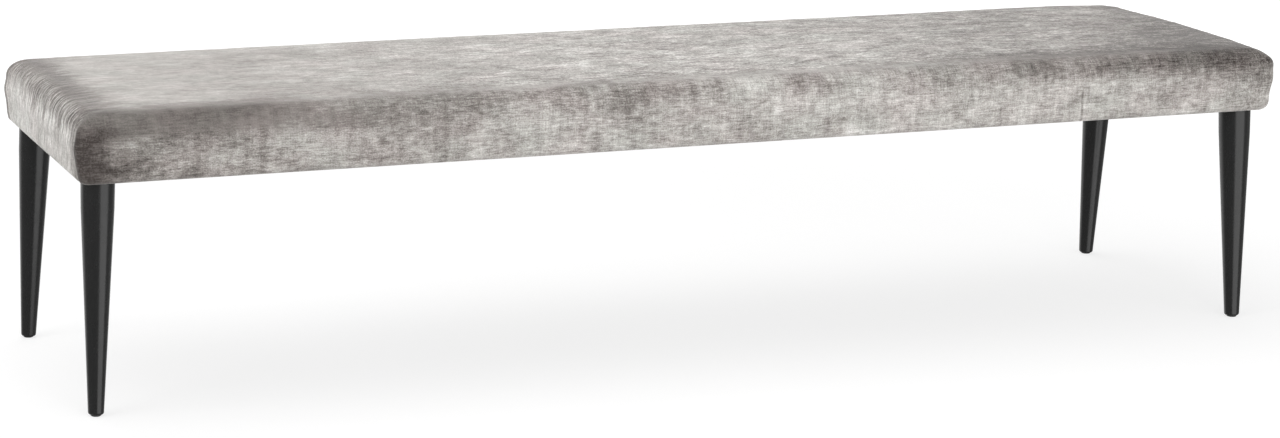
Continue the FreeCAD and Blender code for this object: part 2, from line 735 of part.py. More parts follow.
def make_glide_nails():
    """The four nails of the glides, as one group."""
    neck = size.nail_head_thick
    pattern = revolved(
        (
            (0, 0),
            (size.nail_head_radius, 0),
            (size.nail_head_radius, neck),
            (size.nail_radius, neck),
            (size.nail_radius, size.nail_length - nail_sunk - size.nail_radius * POINT_LENGTH_SHARE),
            (0, size.nail_length - nail_sunk),
        )
    )
    nails = []
    for _, end, side in CORNERS:
        along = end * (head_along + size.splay_along)
        across = side * (head_across + size.splay_across)
        nails.append(moved(pattern, Vector(along, across, nail_sunk)))
    return keep(feature("glide_nail_group", Part.makeCompound(nails)), "glide_nails")


def make_inserts():
    """The threaded inserts in the corner blocks, as one group."""
    sleeve = Part.makeCylinder(size.insert_radius, size.insert_length)
    thread = Part.makeCylinder(size.bolt_radius + size.screw_fit, size.insert_length)
    pattern = sleeve.cut(thread)
    sleeves = [
        moved(pattern, Vector(end * head_along, side * head_across, rail_bottom)) for _, end, side in CORNERS
    ]
    return keep(feature("threaded_insert_group", Part.makeCompound(sleeves)), "threaded_inserts")


for label, side in (("front", -1), ("back", 1)):
    make_long_rail(label + "_rail", side)
    make_tube(label + "_stiffening_tube", side)
for label, end in (("left", -1), ("right", 1)):
    make_end_rail(label + "_end_rail", end)
for number in range(1, CROSS_RAILS + 1):
    make_cross_rail(number)
for name, end, side in CORNERS:
    make_corner_block(name, end, side)
    make_leg(name, end, side)
    make_hanger_bolt(name, end, side)
    make_glide(name, end, side)
make_seat_board()
make_soft_layers()
make_dust_cover()
make_glide_nails()
make_inserts()
groups = (
    ("frame_screws", screw_group(frame_screw_places(), *frame_screw_sizes)),
    ("board_screws", screw_group(board_screw_places(), *board_screw_sizes)),
    ("cover_staples", staple_group(*cover_row)),
    ("dust_cover_staples", staple_group(*dust_row)),
)
for label, solids in groups:
    keep(feature(label + "_group", Part.makeCompound(solids)), label)

doc.recompute()
for owner in doc.Objects:
    if "Invalid" in owner.State or "Error" in owner.State:
        raise RuntimeError(f"{owner.Label}: {owner.State}")
for owner in pieces:
    if owner.Shape.isNull() or not owner.Shape.isValid() or not owner.Shape.Solids:
        raise RuntimeError(f"{owner.Label}: its shape is not a valid solid")
os.makedirs("parts", exist_ok=True)
for owner in pieces:
    owner.Shape.exportStep(f"parts/{owner.Label}.step")
    box = owner.Shape.BoundBox
    print(
        f"{owner.Label}: {len(owner.Shape.Solids)} solids, {owner.Shape.Volume / 1000:.1f} cm3, "
        f"X {box.XMin:.1f} to {box.XMax:.1f}, Y {box.YMin:.1f} to {box.YMax:.1f}, Z {box.ZMin:.1f} to {box.ZMax:.1f}"
    )
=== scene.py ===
import math

import bmesh
import bpy
import numpy as np
from mathutils import Matrix, Vector, noise


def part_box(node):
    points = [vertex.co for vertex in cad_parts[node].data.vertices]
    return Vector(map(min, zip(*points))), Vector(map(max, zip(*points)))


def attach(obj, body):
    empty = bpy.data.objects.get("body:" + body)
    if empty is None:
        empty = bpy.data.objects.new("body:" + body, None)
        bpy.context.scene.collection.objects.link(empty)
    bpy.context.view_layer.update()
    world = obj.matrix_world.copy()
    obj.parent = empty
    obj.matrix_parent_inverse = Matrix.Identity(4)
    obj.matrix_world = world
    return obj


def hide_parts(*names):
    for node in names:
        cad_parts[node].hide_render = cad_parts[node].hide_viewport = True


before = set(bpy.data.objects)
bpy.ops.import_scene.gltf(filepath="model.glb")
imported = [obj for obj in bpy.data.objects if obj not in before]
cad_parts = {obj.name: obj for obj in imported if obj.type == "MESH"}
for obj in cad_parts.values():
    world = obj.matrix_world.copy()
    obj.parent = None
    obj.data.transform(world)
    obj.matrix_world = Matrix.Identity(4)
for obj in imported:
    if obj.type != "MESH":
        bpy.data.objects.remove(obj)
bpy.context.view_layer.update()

# A long velvet bench on four black turned legs. Lengths are in metres: X runs along the bench, its
# front faces -Y and the floor is at Z = 0.
MM = 0.001
ROOT = "root"

# The seat's outer form: the swell of its sides and the crown of its top, the tuck at its lower edge
# and where the turned-under cloth ends, and how round the frame's corners and the foam's edge are
SIDE_BULGE = 3 * MM
BULGE_LIFT = 1.6
CROWN_RISE = 3 * MM
CROWN_POWER = 3.6
TUCK_IN = 12 * MM
TUCK_UP = 16 * MM
RETURN_EDGE = 42 * MM
FRAME_CORNER = 5.2 * MM
FOAM_ROUND = 21.2 * MM
CORNER_TOP_SHARE = 0.5

# The layers, and the air between them
COVER_THICK = 1.2 * MM
LAYER_GAP = 0.4 * MM
WADDING_HEM = 8 * MM
DUST_LAYER = 0.4 * MM
DUST_SAG = 4 * MM
SAG_ALONG = 1.2
SAG_ACROSS = 2.4
RIPPLE = 0.3
FOAM_EDGE_ANGLE = math.radians(50)
STAPLE_TWIST = math.radians(4)

# The meshes. Steps up a profile are on the turned-under cloth, the tuck, the side and the roundover.
# A grid's numbers are its columns, its rows and the steps round half a corner. The cover's columns
# are closer together at its ends.
COVER_STEPS = (4, 5, 12, 11)
COVER_GRID = (230, 70, 6)
COVER_CLOSENESS = 0.55
WADDING_OUTER_STEPS = (0, 3, 5, 7)
WADDING_INNER_STEPS = (0, 0, 5, 7)
FOAM_STEPS = (0, 0, 3, 7)
PAD_GRID = (120, 30, 2)
SEAM_ROWS = 1
DUST_COLUMNS = 160
DUST_ROWS = 40
MERGE_REACH = 0.001 * MM
FRONT, RIGHT_END, BACK, LEFT_END = range(4)

# The sewn cloth: how long and how far it is blown up, how far it is filled out, its soft hollows with
# their lengths along each axis, its gathers, and its seams with a low ridge on each side
BLOWN_FRAMES = 20
BLOWN_MOST = 1.2 * MM
FILLED_OUT = 1 * MM
HOLLOW = 0.6 * MM
HOLLOW_WAVES = (0.16, 0.12, 0.07)
SMALL_WAVES = (0.05, 0.05, 0.04)
GATHER = 0.8 * MM
GATHER_PITCH = 11 * MM
GATHER_OVER = (-0.030, 0.006)
GATHER_HEIGHT = (-0.055, 0.010)
SEAM_DEPTH = 1.1 * MM
SEAM_WIDTH = 1.4 * MM
RIDGE_SHARE = 0.35
RIDGE_ASIDE = 2.4

# The middles of the ends stay up. Each corner was folded by hand: its side of X and of Y, how far
# its top is drawn down and from how far across the bench, how far it stands out along the bench, and
# the four heights where it starts to stand out, stands out in full, starts to go back and is back.
END_LIFT = 2.6 * MM
END_LIFT_FADE = (0.02, 0.16)
CORNER_REACH = 0.13
PUFF_REACH = 0.06
HAND_FOLDED = (
    (-1, -1, 2.2 * MM, 0.11, 4.0 * MM, (0.378, 0.405, 0.440, 0.474)),
    (1, -1, 3.6 * MM, 0.11, 3.8 * MM, (0.425, 0.450, 0.458, 0.478)),
    (-1, 1, 2.2 * MM, 0.11, 0.8 * MM, (0.380, 0.400, 0.460, 0.478)),
    (1, 1, 6.5 * MM, 0.08, 0.8 * MM, (0.380, 0.400, 0.460, 0.478)),
)

cover_low, cover_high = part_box("seat_cover")
board_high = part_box("seat_board")[1]
HALF_LENGTH = cover_high.x - SIDE_BULGE
HALF_DEPTH = cover_high.y - SIDE_BULGE
UNDERSIDE = cover_low.z
SEAT_TOP = cover_high.z
FRAME_INSET = HALF_LENGTH - board_high.x
BOARD_TOP = board_high.z
TOP_ROUND = FOAM_ROUND + FRAME_INSET
CORNER_ROUND = FRAME_CORNER + FRAME_INSET
SHOULDER = SEAT_TOP - CROWN_RISE - TOP_ROUND
FRONT_EDGE = TOP_ROUND - HALF_DEPTH
END_EDGE = HALF_LENGTH - TOP_ROUND

# The velvet's zones, in metres: over an edge they count out from the flat top, and along or across
# the bench from its middle. A zone fades in from its first border to its second and, where it has
# four, out again from the third to the fourth.
OVER_FRONT = (-0.036, 0.020)
OVER_ROUNDED = (-0.060, 0.012, 0.034, 0.072)
OVER_EDGE_RIGHT = (-0.070, -0.015, 0.030, 0.060)
OVER_SEAM = (0.022, 0.072)
OVER_UPPER_FRONT = (0.095, 0.060)
OVER_LOWER_FRONT = (0.030, 0.075)
OVER_CREASE = (0.055, 0.080, 0.15, 0.16)
OVER_END = (-0.005, 0.020)
OVER_END_ROUNDED = (-0.070, 0.006, 0.028, 0.060)
OVER_END_GRIT = (-0.05, -0.01)
OVER_END_GATHER_SHADE = (-0.075, -0.02, 0.05, 0.10)
ALONG_SEAM = (-0.935, -1.05)
ALONG_LEFT = (-0.30, -0.98)
ALONG_TOP_LEFT = (-0.95, -0.75, -0.50, -0.20)
ALONG_BRUSHED = (-0.85, -0.35)
ALONG_CALM = (-1.0, 0.1)
ALONG_UPRIGHT = (-0.7, 0.2)
ALONG_MIDDLE = (-0.35, 0.15)
ALONG_RIGHT = (0.15, 0.80)
ALONG_EDGE_RIGHT = (0.20, 0.80)
ALONG_CORNER = (0.78, 0.96)
ACROSS_CORNER = (0.16, -0.12)
ACROSS_END_BACK = (-0.05, 0.24)
ACROSS_GATHER_SHADE = (0.24, 0.0)
CREASE_PLACE = 0.652
CREASE_LEAN = 0.076
CREASE_WIDTH = (3.5 * MM, 0.8 * MM)

# How much each zone is lightened or darkened, on a scale from 0 to 1: by the way the pile lies on the
# top's left and middle, and elsewhere wholly or partly by painted shade and light, as each says
# Partly the way the pile lies, partly painted shade: the front darker towards its left, and darkest by
# its left seam
PILE_AND_SHADE_FRONT_LEFT = -0.24
PILE_AND_SHADE_SEAM_LEFT = -0.42
# Painted shade: a dark band over the front's roundover, eased in its middle, darker along the right of
# its edge and down the front by its right corner
PAINTED_SHADE_FRONT_CORNER = -0.16
PAINTED_SHADE_ROUNDED = -0.14
PAINTED_SHADE_ROUNDED_EASED_MIDDLE = 0.12
PAINTED_SHADE_EDGE_RIGHT = -0.30
PILE_TOP_LEFT = -0.05
PILE_TOP_MIDDLE = -0.02
# Painted shade: the top darker towards its right, and darkest by its right corner
PAINTED_SHADE_TOP_RIGHT = -0.16
PAINTED_SHADE_TOP_CORNER = -0.34
# The ends are lighter, partly from the way their pile lies and partly by painted light from the side. A
# painted sheen makes them lighter still towards the back, and painted shade darkens their roundovers.
PILE_AND_LIGHT_END = 0.10
PAINTED_SHEEN_END_BACK = 0.14
PAINTED_SHADE_END_ROUNDED = -0.36
# Painted shade in the faint crease on the front
PAINTED_SHADE_CREASE = -0.22

# How much each pattern of the pile shows on the same scale, and the tone that they play about
STROKE_TONE = 1.0
SPECK_TONE = 0.95
BAND_TONE = 0.35
NAP_TONE = 0.55
GRIT_TONE = 1.2
# Painted shade and light of the gathers' folds at the ends
GATHER_SHADE_TONE = 0.50
CLOUD_TONE = 0.72
PATCH_TONE = 0.4
MIDDLE_TONE = 0.58
DARKEST_TONE = 0.04
DARK_BLEND = 0.12

# How far the threads drift and over what length, and how far the zones' borders wander with the
# patches along the bench, and with the clouds along it and over its edges
DRIFT = 7 * MM
DRIFT_LENGTH = 0.09
PATCH_WANDER = 0.45
CLOUD_WANDER = 0.16
EDGE_WANDER = 0.035

# The photograph's frame, in pixels, and the camera that sees the bench as it does
IMAGE_WIDTH = 1280
FOCAL_PIXELS = 3041.6
AXIS_PIXEL = 300
SENSOR_WIDTH = 36
CAMERA_PLACE = (-2.1085, -4.6209, 1.4056)
CAMERA_HEADING = math.radians(17.896)
CAMERA_PITCH = math.radians(13.595)
CAMERA_ROLL = math.radians(0.373)


def add_camera():
    east, north = math.sin(CAMERA_HEADING), math.cos(CAMERA_HEADING)
    shrink = math.cos(CAMERA_PITCH)
    ahead = Vector((east * shrink, north * shrink, -math.sin(CAMERA_PITCH)))
    level = Vector((north, -east, 0))
    upward = level.cross(ahead)
    right = math.cos(CAMERA_ROLL) * level + math.sin(CAMERA_ROLL) * upward
    up = right.cross(ahead)
    data = bpy.data.cameras.new("camera")
    data.sensor_width = SENSOR_WIDTH
    data.lens = SENSOR_WIDTH * FOCAL_PIXELS / IMAGE_WIDTH
    data.shift_x = 0.5 - AXIS_PIXEL / IMAGE_WIDTH
    camera = bpy.data.objects.new("camera", data)
    bpy.context.scene.collection.objects.link(camera)
    turn = Matrix((right, up, -ahead)).transposed().to_4x4()
    camera.matrix_world = Matrix.Translation(Vector(CAMERA_PLACE)) @ turn
    bpy.context.scene.camera = camera


# Has a range's new value ease in and out
EASED = {"interpolation_type": "SMOOTHSTEP"}


def linear(hex_colour):
    """An sRGB hex colour as linear RGBA."""
    parts = [int(hex_colour[at : at + 2], 16) / 255 for at in (1, 3, 5)]
    return tuple(p / 12.92 if p <= 0.04045 else ((p + 0.055) / 1.055) ** 2.4 for p in parts) + (1.0,)


def node(tree, kind, *values, out=None, stops=(), **named):
    """Adds a node and gives its output: the first that is in use, or the one that is named.

    Values go to the inputs in their order. A name in small letters is a setting of the node. One
    with a capital is an input's, with underscores for spaces. A socket is linked, and a hex colour
    made linear. Stops are the places and hex colours of a ramp.
    """
    added = tree.nodes.new(kind)
    for name in [name for name in named if name[0].islower()]:
        setattr(added, name, named.pop(name))
    inputs = [socket for socket in added.inputs if socket.enabled]
    given = list(zip(inputs, values))
    for name, value in named.items():
        wanted = name.replace("_", " ")
        given.append((next(socket for socket in inputs if socket.name == wanted), value))
    for socket, value in given:
        if isinstance(value, bpy.types.NodeSocket):
            tree.links.new(value, socket)
        elif isinstance(value, str) and value.startswith("#"):
            socket.default_value = linear(value)
        else:
            socket.default_value = value
    if stops:
        elements = added.color_ramp.elements
        for _ in stops[len(elements) :]:
            elements.new(0.5)
        for element, (at, colour) in zip(elements, stops):
            element.position = at
            element.color = linear(colour)
    found = [socket for socket in added.outputs if socket.enabled and out in (None, socket.name)]
    return found[0] if found else None


def grain(tree, sizes, coords=None, detail=3.0, rough=0.55, turn=0.0, shift=(0, 0, 0), distortion=0.0):
    """Noise whose grains have a size in metres along each axis, on Object coordinates or those given."""
    coords = coords or node(tree, "ShaderNodeTexCoord", out="Object")
    scale = tuple(1 / size for size in sizes)
    mapped = node(tree, "ShaderNodeMapping", coords, Location=shift, Rotation=(0, 0, turn), Scale=scale)
    looks = {"Detail": detail, "Roughness": rough, "Distortion": distortion}
    return node(tree, "ShaderNodeTexNoise", Vector=mapped, Scale=1.0, **looks)


def new_material(name):
    made = bpy.data.materials.new(name)
    made.use_nodes = True
    made.node_tree.nodes.clear()
    return made, made.node_tree


def finished(made, height, deepest, strength, **inputs):
    """Gives a material its surface, with a height that stands for its finest relief."""
    tree = made.node_tree
    relief = node(tree, "ShaderNodeBump", Height=height, Distance=deepest, Strength=strength)
    shader = node(tree, "ShaderNodeBsdfPrincipled", Normal=relief, **inputs)
    node(tree, "ShaderNodeOutputMaterial", Surface=shader)
    return made


def crushed_velvet():
    """Crushed viscose velvet. Its pile lies in many directions, so light and dark patches run into
    each other, with fine streaks along both thread directions and a sheen at flat angles. The cloth
    map gives places on the flat cloth: U runs along the bench, V from its front to its back."""
    made, tree = new_material("crushed_viscose_velvet")
    flat = node(tree, "ShaderNodeUVMap", uv_map="cloth")
    drift = node(tree, "ShaderNodeTexNoise", Vector=flat, Scale=1 / DRIFT_LENGTH, Detail=2.0, out="Color")
    drift = node(tree, "ShaderNodeVectorMath", drift, (0.5, 0.5, 0.5), operation="SUBTRACT")
    drift = node(tree, "ShaderNodeVectorMath", drift, Scale=DRIFT, operation="SCALE")
    cloth = node(tree, "ShaderNodeVectorMath", flat, drift, operation="ADD")

    def pattern(along, across, **settings):
        """Noise whose grains have a size in millimetres along and across the bench."""
        return grain(tree, (along * MM, across * MM, 1), cloth, **settings)

    def fade(value, low, high, new_low=0.0, new_high=1.0):
        limits = (low, high, new_low, new_high)
        return node(tree, "ShaderNodeMapRange", value, *limits, **EASED)

    def less(value, other):
        return node(tree, "ShaderNodeMath", value, other, operation="SUBTRACT")

    def centred(value):
        return less(value, 0.5)

    def off(mask):
        return less(1.0, mask)

    def added(total, value, gain):
        return node(tree, "ShaderNodeMath", value, gain, total, operation="MULTIPLY_ADD")

    def more(mask, rise, base=1.0):
        return added(base, mask, rise)

    def larger(value, other):
        return node(tree, "ShaderNodeMath", value, other, operation="MAXIMUM")

    def both(*values):
        total = values[0]
        for value in values[1:]:
            total = node(tree, "ShaderNodeMath", total, value, operation="MULTIPLY")
        return total

    def zone(value, borders):
        inside = fade(value, *borders[:2])
        return both(inside, fade(value, borders[3], borders[2])) if borders[2:] else inside

    # The streaks along both threads and the specks are drawn coarser than single threads, which are
    # too fine to show
    patches = pattern(260, 130, detail=2.0)
    clouds = pattern(60, 34, detail=5.0, rough=0.62, distortion=0.6)
    nap = pattern(14, 9, detail=4.0, rough=0.65, shift=(2, 9, 0))
    weft = pattern(24, 2.7, detail=4.0, rough=0.66, distortion=0.3)
    warp = pattern(2.1, 24, detail=3.0, rough=0.62, shift=(3, 5, 0))
    speck = pattern(2.6, 2.2, detail=3.0, rough=0.75)
    streaks = pattern(46, 8.5, detail=5.0, rough=0.68, shift=(1, 8, 0), distortion=0.8)
    bands = pattern(13, 100, detail=2.0, shift=(4, 4, 0))
    grit = pattern(4.2, 6.5, detail=2.0, rough=0.7, shift=(6, 3, 0))
    gather_shade_noise = pattern(55, 6.5, detail=3.0, rough=0.6, shift=(9, 2, 0), distortion=0.3)
    hue = pattern(100, 70, detail=3.0, shift=(7, 1, 0))

    # How far down over the front's edge a place is, and how far out over an end's. The panels part at
    # the seams, and the borders wander with the pile.
    place = node(tree, "ShaderNodeSeparateXYZ", flat, out="X")
    across = place.node.outputs["Y"]
    along = added(place, centred(patches), PATCH_WANDER)
    close = added(place, centred(clouds), CLOUD_WANDER)
    on_end = node(tree, "ShaderNodeAttribute", attribute_name="end_panel", out="Fac")
    wander = both(centred(clouds), EDGE_WANDER)
    down = node(tree, "ShaderNodeMath", less(FRONT_EDGE, across), off(on_end), operation="MINIMUM")
    down = less(down, wander)
    reach = less(node(tree, "ShaderNodeMath", place, operation="ABSOLUTE"), END_EDGE)
    reach = less(node(tree, "ShaderNodeMath", reach, on_end, operation="MINIMUM"), wander)
    front = zone(down, OVER_FRONT)
    rounded = zone(down, OVER_ROUNDED)
    end = zone(reach, OVER_END)
    end_rounded = zone(reach, OVER_END_ROUNDED)
    top = both(off(front), off(end))
    middle = zone(along, ALONG_MIDDLE)
    seam_left = zone(close, ALONG_SEAM)
    corner = zone(close, ALONG_CORNER)

    # The pile lies one way on top and another down the front; over this go the zones of painted shade and
    # light
    # Partly the way the pile lies, partly painted shade: the front darker towards its left, and darkest
    # by its left seam
    lie_and_painted_light = both(front, zone(along, ALONG_LEFT), PILE_AND_SHADE_FRONT_LEFT)
    for mask, tone in (
        (both(front, seam_left, zone(down, OVER_SEAM)), PILE_AND_SHADE_SEAM_LEFT),
        # Painted shade: the dark band over the front's roundover, eased in its middle, darker down the
        # front by its right corner and along the right of its edge
        (rounded, PAINTED_SHADE_ROUNDED),
        (both(rounded, middle), PAINTED_SHADE_ROUNDED_EASED_MIDDLE),
        (both(front, corner, zone(down, OVER_UPPER_FRONT)), PAINTED_SHADE_FRONT_CORNER),
        (both(zone(down, OVER_EDGE_RIGHT), zone(close, ALONG_EDGE_RIGHT)), PAINTED_SHADE_EDGE_RIGHT),
        (both(top, zone(along, ALONG_TOP_LEFT)), PILE_TOP_LEFT),
        (both(top, middle), PILE_TOP_MIDDLE),
        # Painted shade: the top darker towards its right, and darkest by its right corner
        (both(top, zone(along, ALONG_RIGHT)), PAINTED_SHADE_TOP_RIGHT),
        (both(top, corner, off(end_rounded), zone(across, ACROSS_CORNER)), PAINTED_SHADE_TOP_CORNER),
        # The ends are lighter, partly from the way their pile lies and partly by painted light from the
        # side. A painted sheen makes them lighter towards the back, and painted shade darkens their
        # roundovers.
        (end, PILE_AND_LIGHT_END),
        (both(end, zone(across, ACROSS_END_BACK)), PAINTED_SHEEN_END_BACK),
        (both(end_rounded, off(front)), PAINTED_SHADE_END_ROUNDED),
    ):
        lie_and_painted_light = added(lie_and_painted_light, mask, tone)

    # The streaks are crisp on the front's right and brushed out towards the left of the top
    brushed = zone(along, ALONG_BRUSHED)
    low = both(zone(down, OVER_LOWER_FRONT), off(seam_left))
    calm = fade(along, *ALONG_CALM, new_low=0.42)
    on_front = both(front, fade(larger(low, brushed), 0, 1, new_low=0.4))
    crisp = larger(both(calm, off(front)), on_front)
    crisp = larger(crisp, both(end, 1.1))
    upright = both(front, fade(along, *ALONG_UPRIGHT, new_low=0.22, new_high=0.45))
    upright = added(upright, top, 0.35)
    strokes = both(centred(weft), more(end, 0.5, base=0.85))
    strokes = added(strokes, centred(warp), upright)
    strokes = added(strokes, both(centred(streaks), top), 1.3)
    # Painted shade and light draw the gathers' folds as lines over the ends' edges
    gather_shade_zone = both(zone(reach, OVER_END_GATHER_SHADE), fade(across, *ACROSS_GATHER_SHADE, new_low=0.3))
    gather_shade_lines = centred(fade(gather_shade_noise, 0.38, 0.62))
    gritty = larger(both(top, brushed), fade(reach, *OVER_END_GRIT, new_high=0.5))
    fine = added(both(strokes, STROKE_TONE), centred(speck), SPECK_TONE)
    for look, tone in (
        (both(centred(bands), front), BAND_TONE),
        (both(centred(nap), more(top, 0.8)), NAP_TONE),
        (both(centred(clouds), more(top, 0.5)), CLOUD_TONE),
        (both(centred(grit), gritty), GRIT_TONE),
        # painted shade and light of the gathers' folds
        (both(gather_shade_zone, gather_shade_lines, off(front)), GATHER_SHADE_TONE),
    ):
        fine = added(fine, look, tone)

    # A faint crease stands up from the front's lower edge, towards its right, darkened with painted shade
    aside = added(less(place, CREASE_PLACE), across, CREASE_LEAN)
    aside = node(tree, "ShaderNodeMath", aside, operation="ABSOLUTE")
    crease = both(zone(aside, CREASE_WIDTH), zone(down, OVER_CREASE))
    lie_and_painted_light = added(lie_and_painted_light, crease, PAINTED_SHADE_CREASE)
    lie_and_painted_light = added(lie_and_painted_light, centred(patches), PATCH_TONE)
    tone = node(tree, "ShaderNodeMath", lie_and_painted_light, MIDDLE_TONE, operation="ADD")
    tone = node(tree, "ShaderNodeMath", tone, DARKEST_TONE, DARK_BLEND, operation="SMOOTH_MAX")
    tone = added(tone, fine, crisp)
    colours = ((0.0, "#3d3836"), (0.35, "#817c79"), (0.65, "#b3b0ad"), (1.0, "#e6e5e3"))
    colour = node(tree, "ShaderNodeValToRGB", tone, stops=colours)
    warm = node(tree, "ShaderNodeValToRGB", hue, stops=((0.35, "#fff6f3"), (0.65, "#f4f8f1")))
    colour = node(tree, "ShaderNodeMix", 0.4, colour, warm, data_type="RGBA", blend_type="MULTIPLY")
    height = added(both(strokes, 1.2), centred(speck), 0.6)
    height = added(height, centred(nap), 1.0)
    height = added(height, crease, -2.0)
    sheen = {"Sheen_Weight": 0.5, "Sheen_Roughness": 0.4, "Sheen_Tint": "#f2efec"}
    gloss = {"Roughness": 0.95, "Specular_IOR_Level": 0.15}
    return finished(made, height, 0.5 * MM, 0.6, Base_Color=colour, **gloss, **sheen)


def black_lacquer():
    """Black satin lacquer sprayed on turned beech: smooth, with soft broad highlights."""
    made, tree = new_material("black_satin_lacquer_on_beech")
    peel = grain(tree, (9 * MM, 9 * MM, 22 * MM), detail=2.0)
    pores = grain(tree, (1.2 * MM, 1.2 * MM, 40 * MM), detail=3.0)
    height = node(tree, "ShaderNodeMath", pores, 0.15, peel, operation="MULTIPLY_ADD")
    colour = node(tree, "ShaderNodeValToRGB", pores, stops=((0.3, "#131313"), (0.7, "#191919")))
    gloss = node(tree, "ShaderNodeMapRange", peel, 0.3, 0.7, 0.22, 0.28, **EASED)
    return finished(made, height, 0.02 * MM, 0.4, Base_Color=colour, Roughness=gloss, IOR=1.5)


def beech(name, light, dark):
    """Planed beech: pale pinkish brown with short darker flecks along the grain."""
    made, tree = new_material(name)
    rings = grain(tree, (0.4, 6 * MM, 5 * MM), detail=4.0, distortion=0.4)
    flecks = grain(tree, (9 * MM, 0.8 * MM, 0.8 * MM), detail=2.0)
    tone = node(tree, "ShaderNodeMath", rings, 0.75, operation="MULTIPLY")
    tone = node(tree, "ShaderNodeMath", flecks, 0.35, tone, operation="MULTIPLY_ADD")
    colour = node(tree, "ShaderNodeValToRGB", tone, stops=((0.3, dark), (0.75, light)))
    return finished(made, flecks, 0.1 * MM, 0.5, Base_Color=colour, Roughness=0.62, IOR=1.5)


def plywood():
    """Birch plywood: a pale rotary-cut face with long soft figure."""
    made, tree = new_material("birch_plywood_sanded")
    figure = grain(tree, (0.5, 0.045, 2 * MM), detail=5.0, distortion=1.2)
    plies = grain(tree, (0.8, 0.8, 1.5 * MM), detail=1.0)
    tone = node(tree, "ShaderNodeMath", figure, 0.7, operation="MULTIPLY")
    tone = node(tree, "ShaderNodeMath", plies, 0.35, tone, operation="MULTIPLY_ADD")
    colour = node(tree, "ShaderNodeValToRGB", tone, stops=((0.3, "#b98f5f"), (0.7, "#dfc294")))
    return finished(made, figure, 0.1 * MM, 0.4, Base_Color=colour, Roughness=0.6, IOR=1.5)


def steel(name, light, dark, rough_low, rough_high, size):
    """Steel: grey metal whose gloss varies from the rolling or the zinc bath."""
    made, tree = new_material(name)
    cloud = grain(tree, (size, size, size), detail=4.0)
    colour = node(tree, "ShaderNodeValToRGB", cloud, stops=((0.3, dark), (0.7, light)))
    limits = (0.3, 0.7, rough_low, rough_high)
    gloss = node(tree, "ShaderNodeMapRange", cloud, *limits, **EASED)
    return finished(made, cloud, 0.05 * MM, 0.4, Base_Color=colour, Metallic=1.0, Roughness=gloss)


def moulded_plastic():
    """Moulded polyethylene glide: dark grey, slightly waxy, with fine scuffs."""
    made, tree = new_material("moulded_polyethylene")
    scuffs = grain(tree, (0.5 * MM, 4 * MM, 1 * MM), detail=3.0)
    colour = node(tree, "ShaderNodeValToRGB", scuffs, stops=((0.3, "#232323"), (0.8, "#383736")))
    gloss = node(tree, "ShaderNodeMapRange", scuffs, 0.3, 0.7, 0.42, 0.6, **EASED)
    return finished(made, scuffs, 0.05 * MM, 0.5, Base_Color=colour, Roughness=gloss, IOR=1.51)


def spunbond():
    """Black spunbond polypropylene: matt tangled threads, bonded by a grid of small flat points, which
    are drawn coarser than they are, so that they show."""
    made, tree = new_material("black_spunbond_polypropylene")
    place = node(tree, "ShaderNodeTexCoord", out="Object")
    fibres = grain(tree, (5 * MM, 0.8 * MM, 1), detail=3.0, turn=0.6, distortion=1.2)
    crossing = grain(tree, (5 * MM, 0.8 * MM, 1), detail=3.0, turn=-0.9, distortion=1.2)
    cloudy = grain(tree, (30 * MM, 22 * MM, 1), detail=4.0)
    welds = node(tree, "ShaderNodeTexVoronoi", Vector=place, Scale=1 / (2.6 * MM), Randomness=0.0)
    weld = node(tree, "ShaderNodeMapRange", welds, 0.16, 0.30, **EASED)
    height = node(tree, "ShaderNodeMath", fibres, crossing, operation="ADD")
    height = node(tree, "ShaderNodeMath", height, weld, operation="MULTIPLY")
    tone = node(tree, "ShaderNodeMath", height, 0.4, operation="MULTIPLY")
    tone = node(tree, "ShaderNodeMath", cloudy, 0.5, tone, operation="MULTIPLY_ADD")
    colour = node(tree, "ShaderNodeValToRGB", tone, stops=((0.3, "#121212"), (0.8, "#2a2a2b")))
    gloss = node(tree, "ShaderNodeMapRange", weld, 0, 1, 0.55, 0.9, **EASED)
    sheen = {"Sheen_Weight": 0.15, "Sheen_Roughness": 0.5}
    return finished(made, height, 0.25 * MM, 0.6, Base_Color=colour, Roughness=gloss, **sheen)


def foam_rubber():
    """Cut polyurethane foam: pale grey-green with open cells, drawn coarse enough to show."""
    made, tree = new_material("cut_polyurethane_foam")
    place = node(tree, "ShaderNodeTexCoord", out="Object")
    cells = node(tree, "ShaderNodeTexVoronoi", Vector=place, Scale=1 / (1.6 * MM), Randomness=1.0)
    shade = grain(tree, (0.08, 0.08, 0.08))
    colour = node(tree, "ShaderNodeValToRGB", shade, stops=((0.3, "#c8c7b4"), (0.7, "#dedccb")))
    gloss = {"Roughness": 0.95, "Specular_IOR_Level": 0.2}
    return finished(made, cells, 0.6 * MM, 0.7, Base_Color=colour, **gloss)


def fibre_wadding():
    """Bonded polyester wadding: white, with soft tangled fibres."""
    made, tree = new_material("bonded_polyester_wadding")
    tangle = grain(tree, (3 * MM, 3 * MM, 3 * MM), detail=6.0, rough=0.7, distortion=2.5)
    colour = node(tree, "ShaderNodeValToRGB", tangle, stops=((0.3, "#dcdcda"), (0.7, "#f2f2f0")))
    gloss = {"Roughness": 1.0, "Sheen_Weight": 0.3, "Specular_IOR_Level": 0.1}
    return finished(made, tangle, 1.2 * MM, 0.6, Base_Color=colour, **gloss)


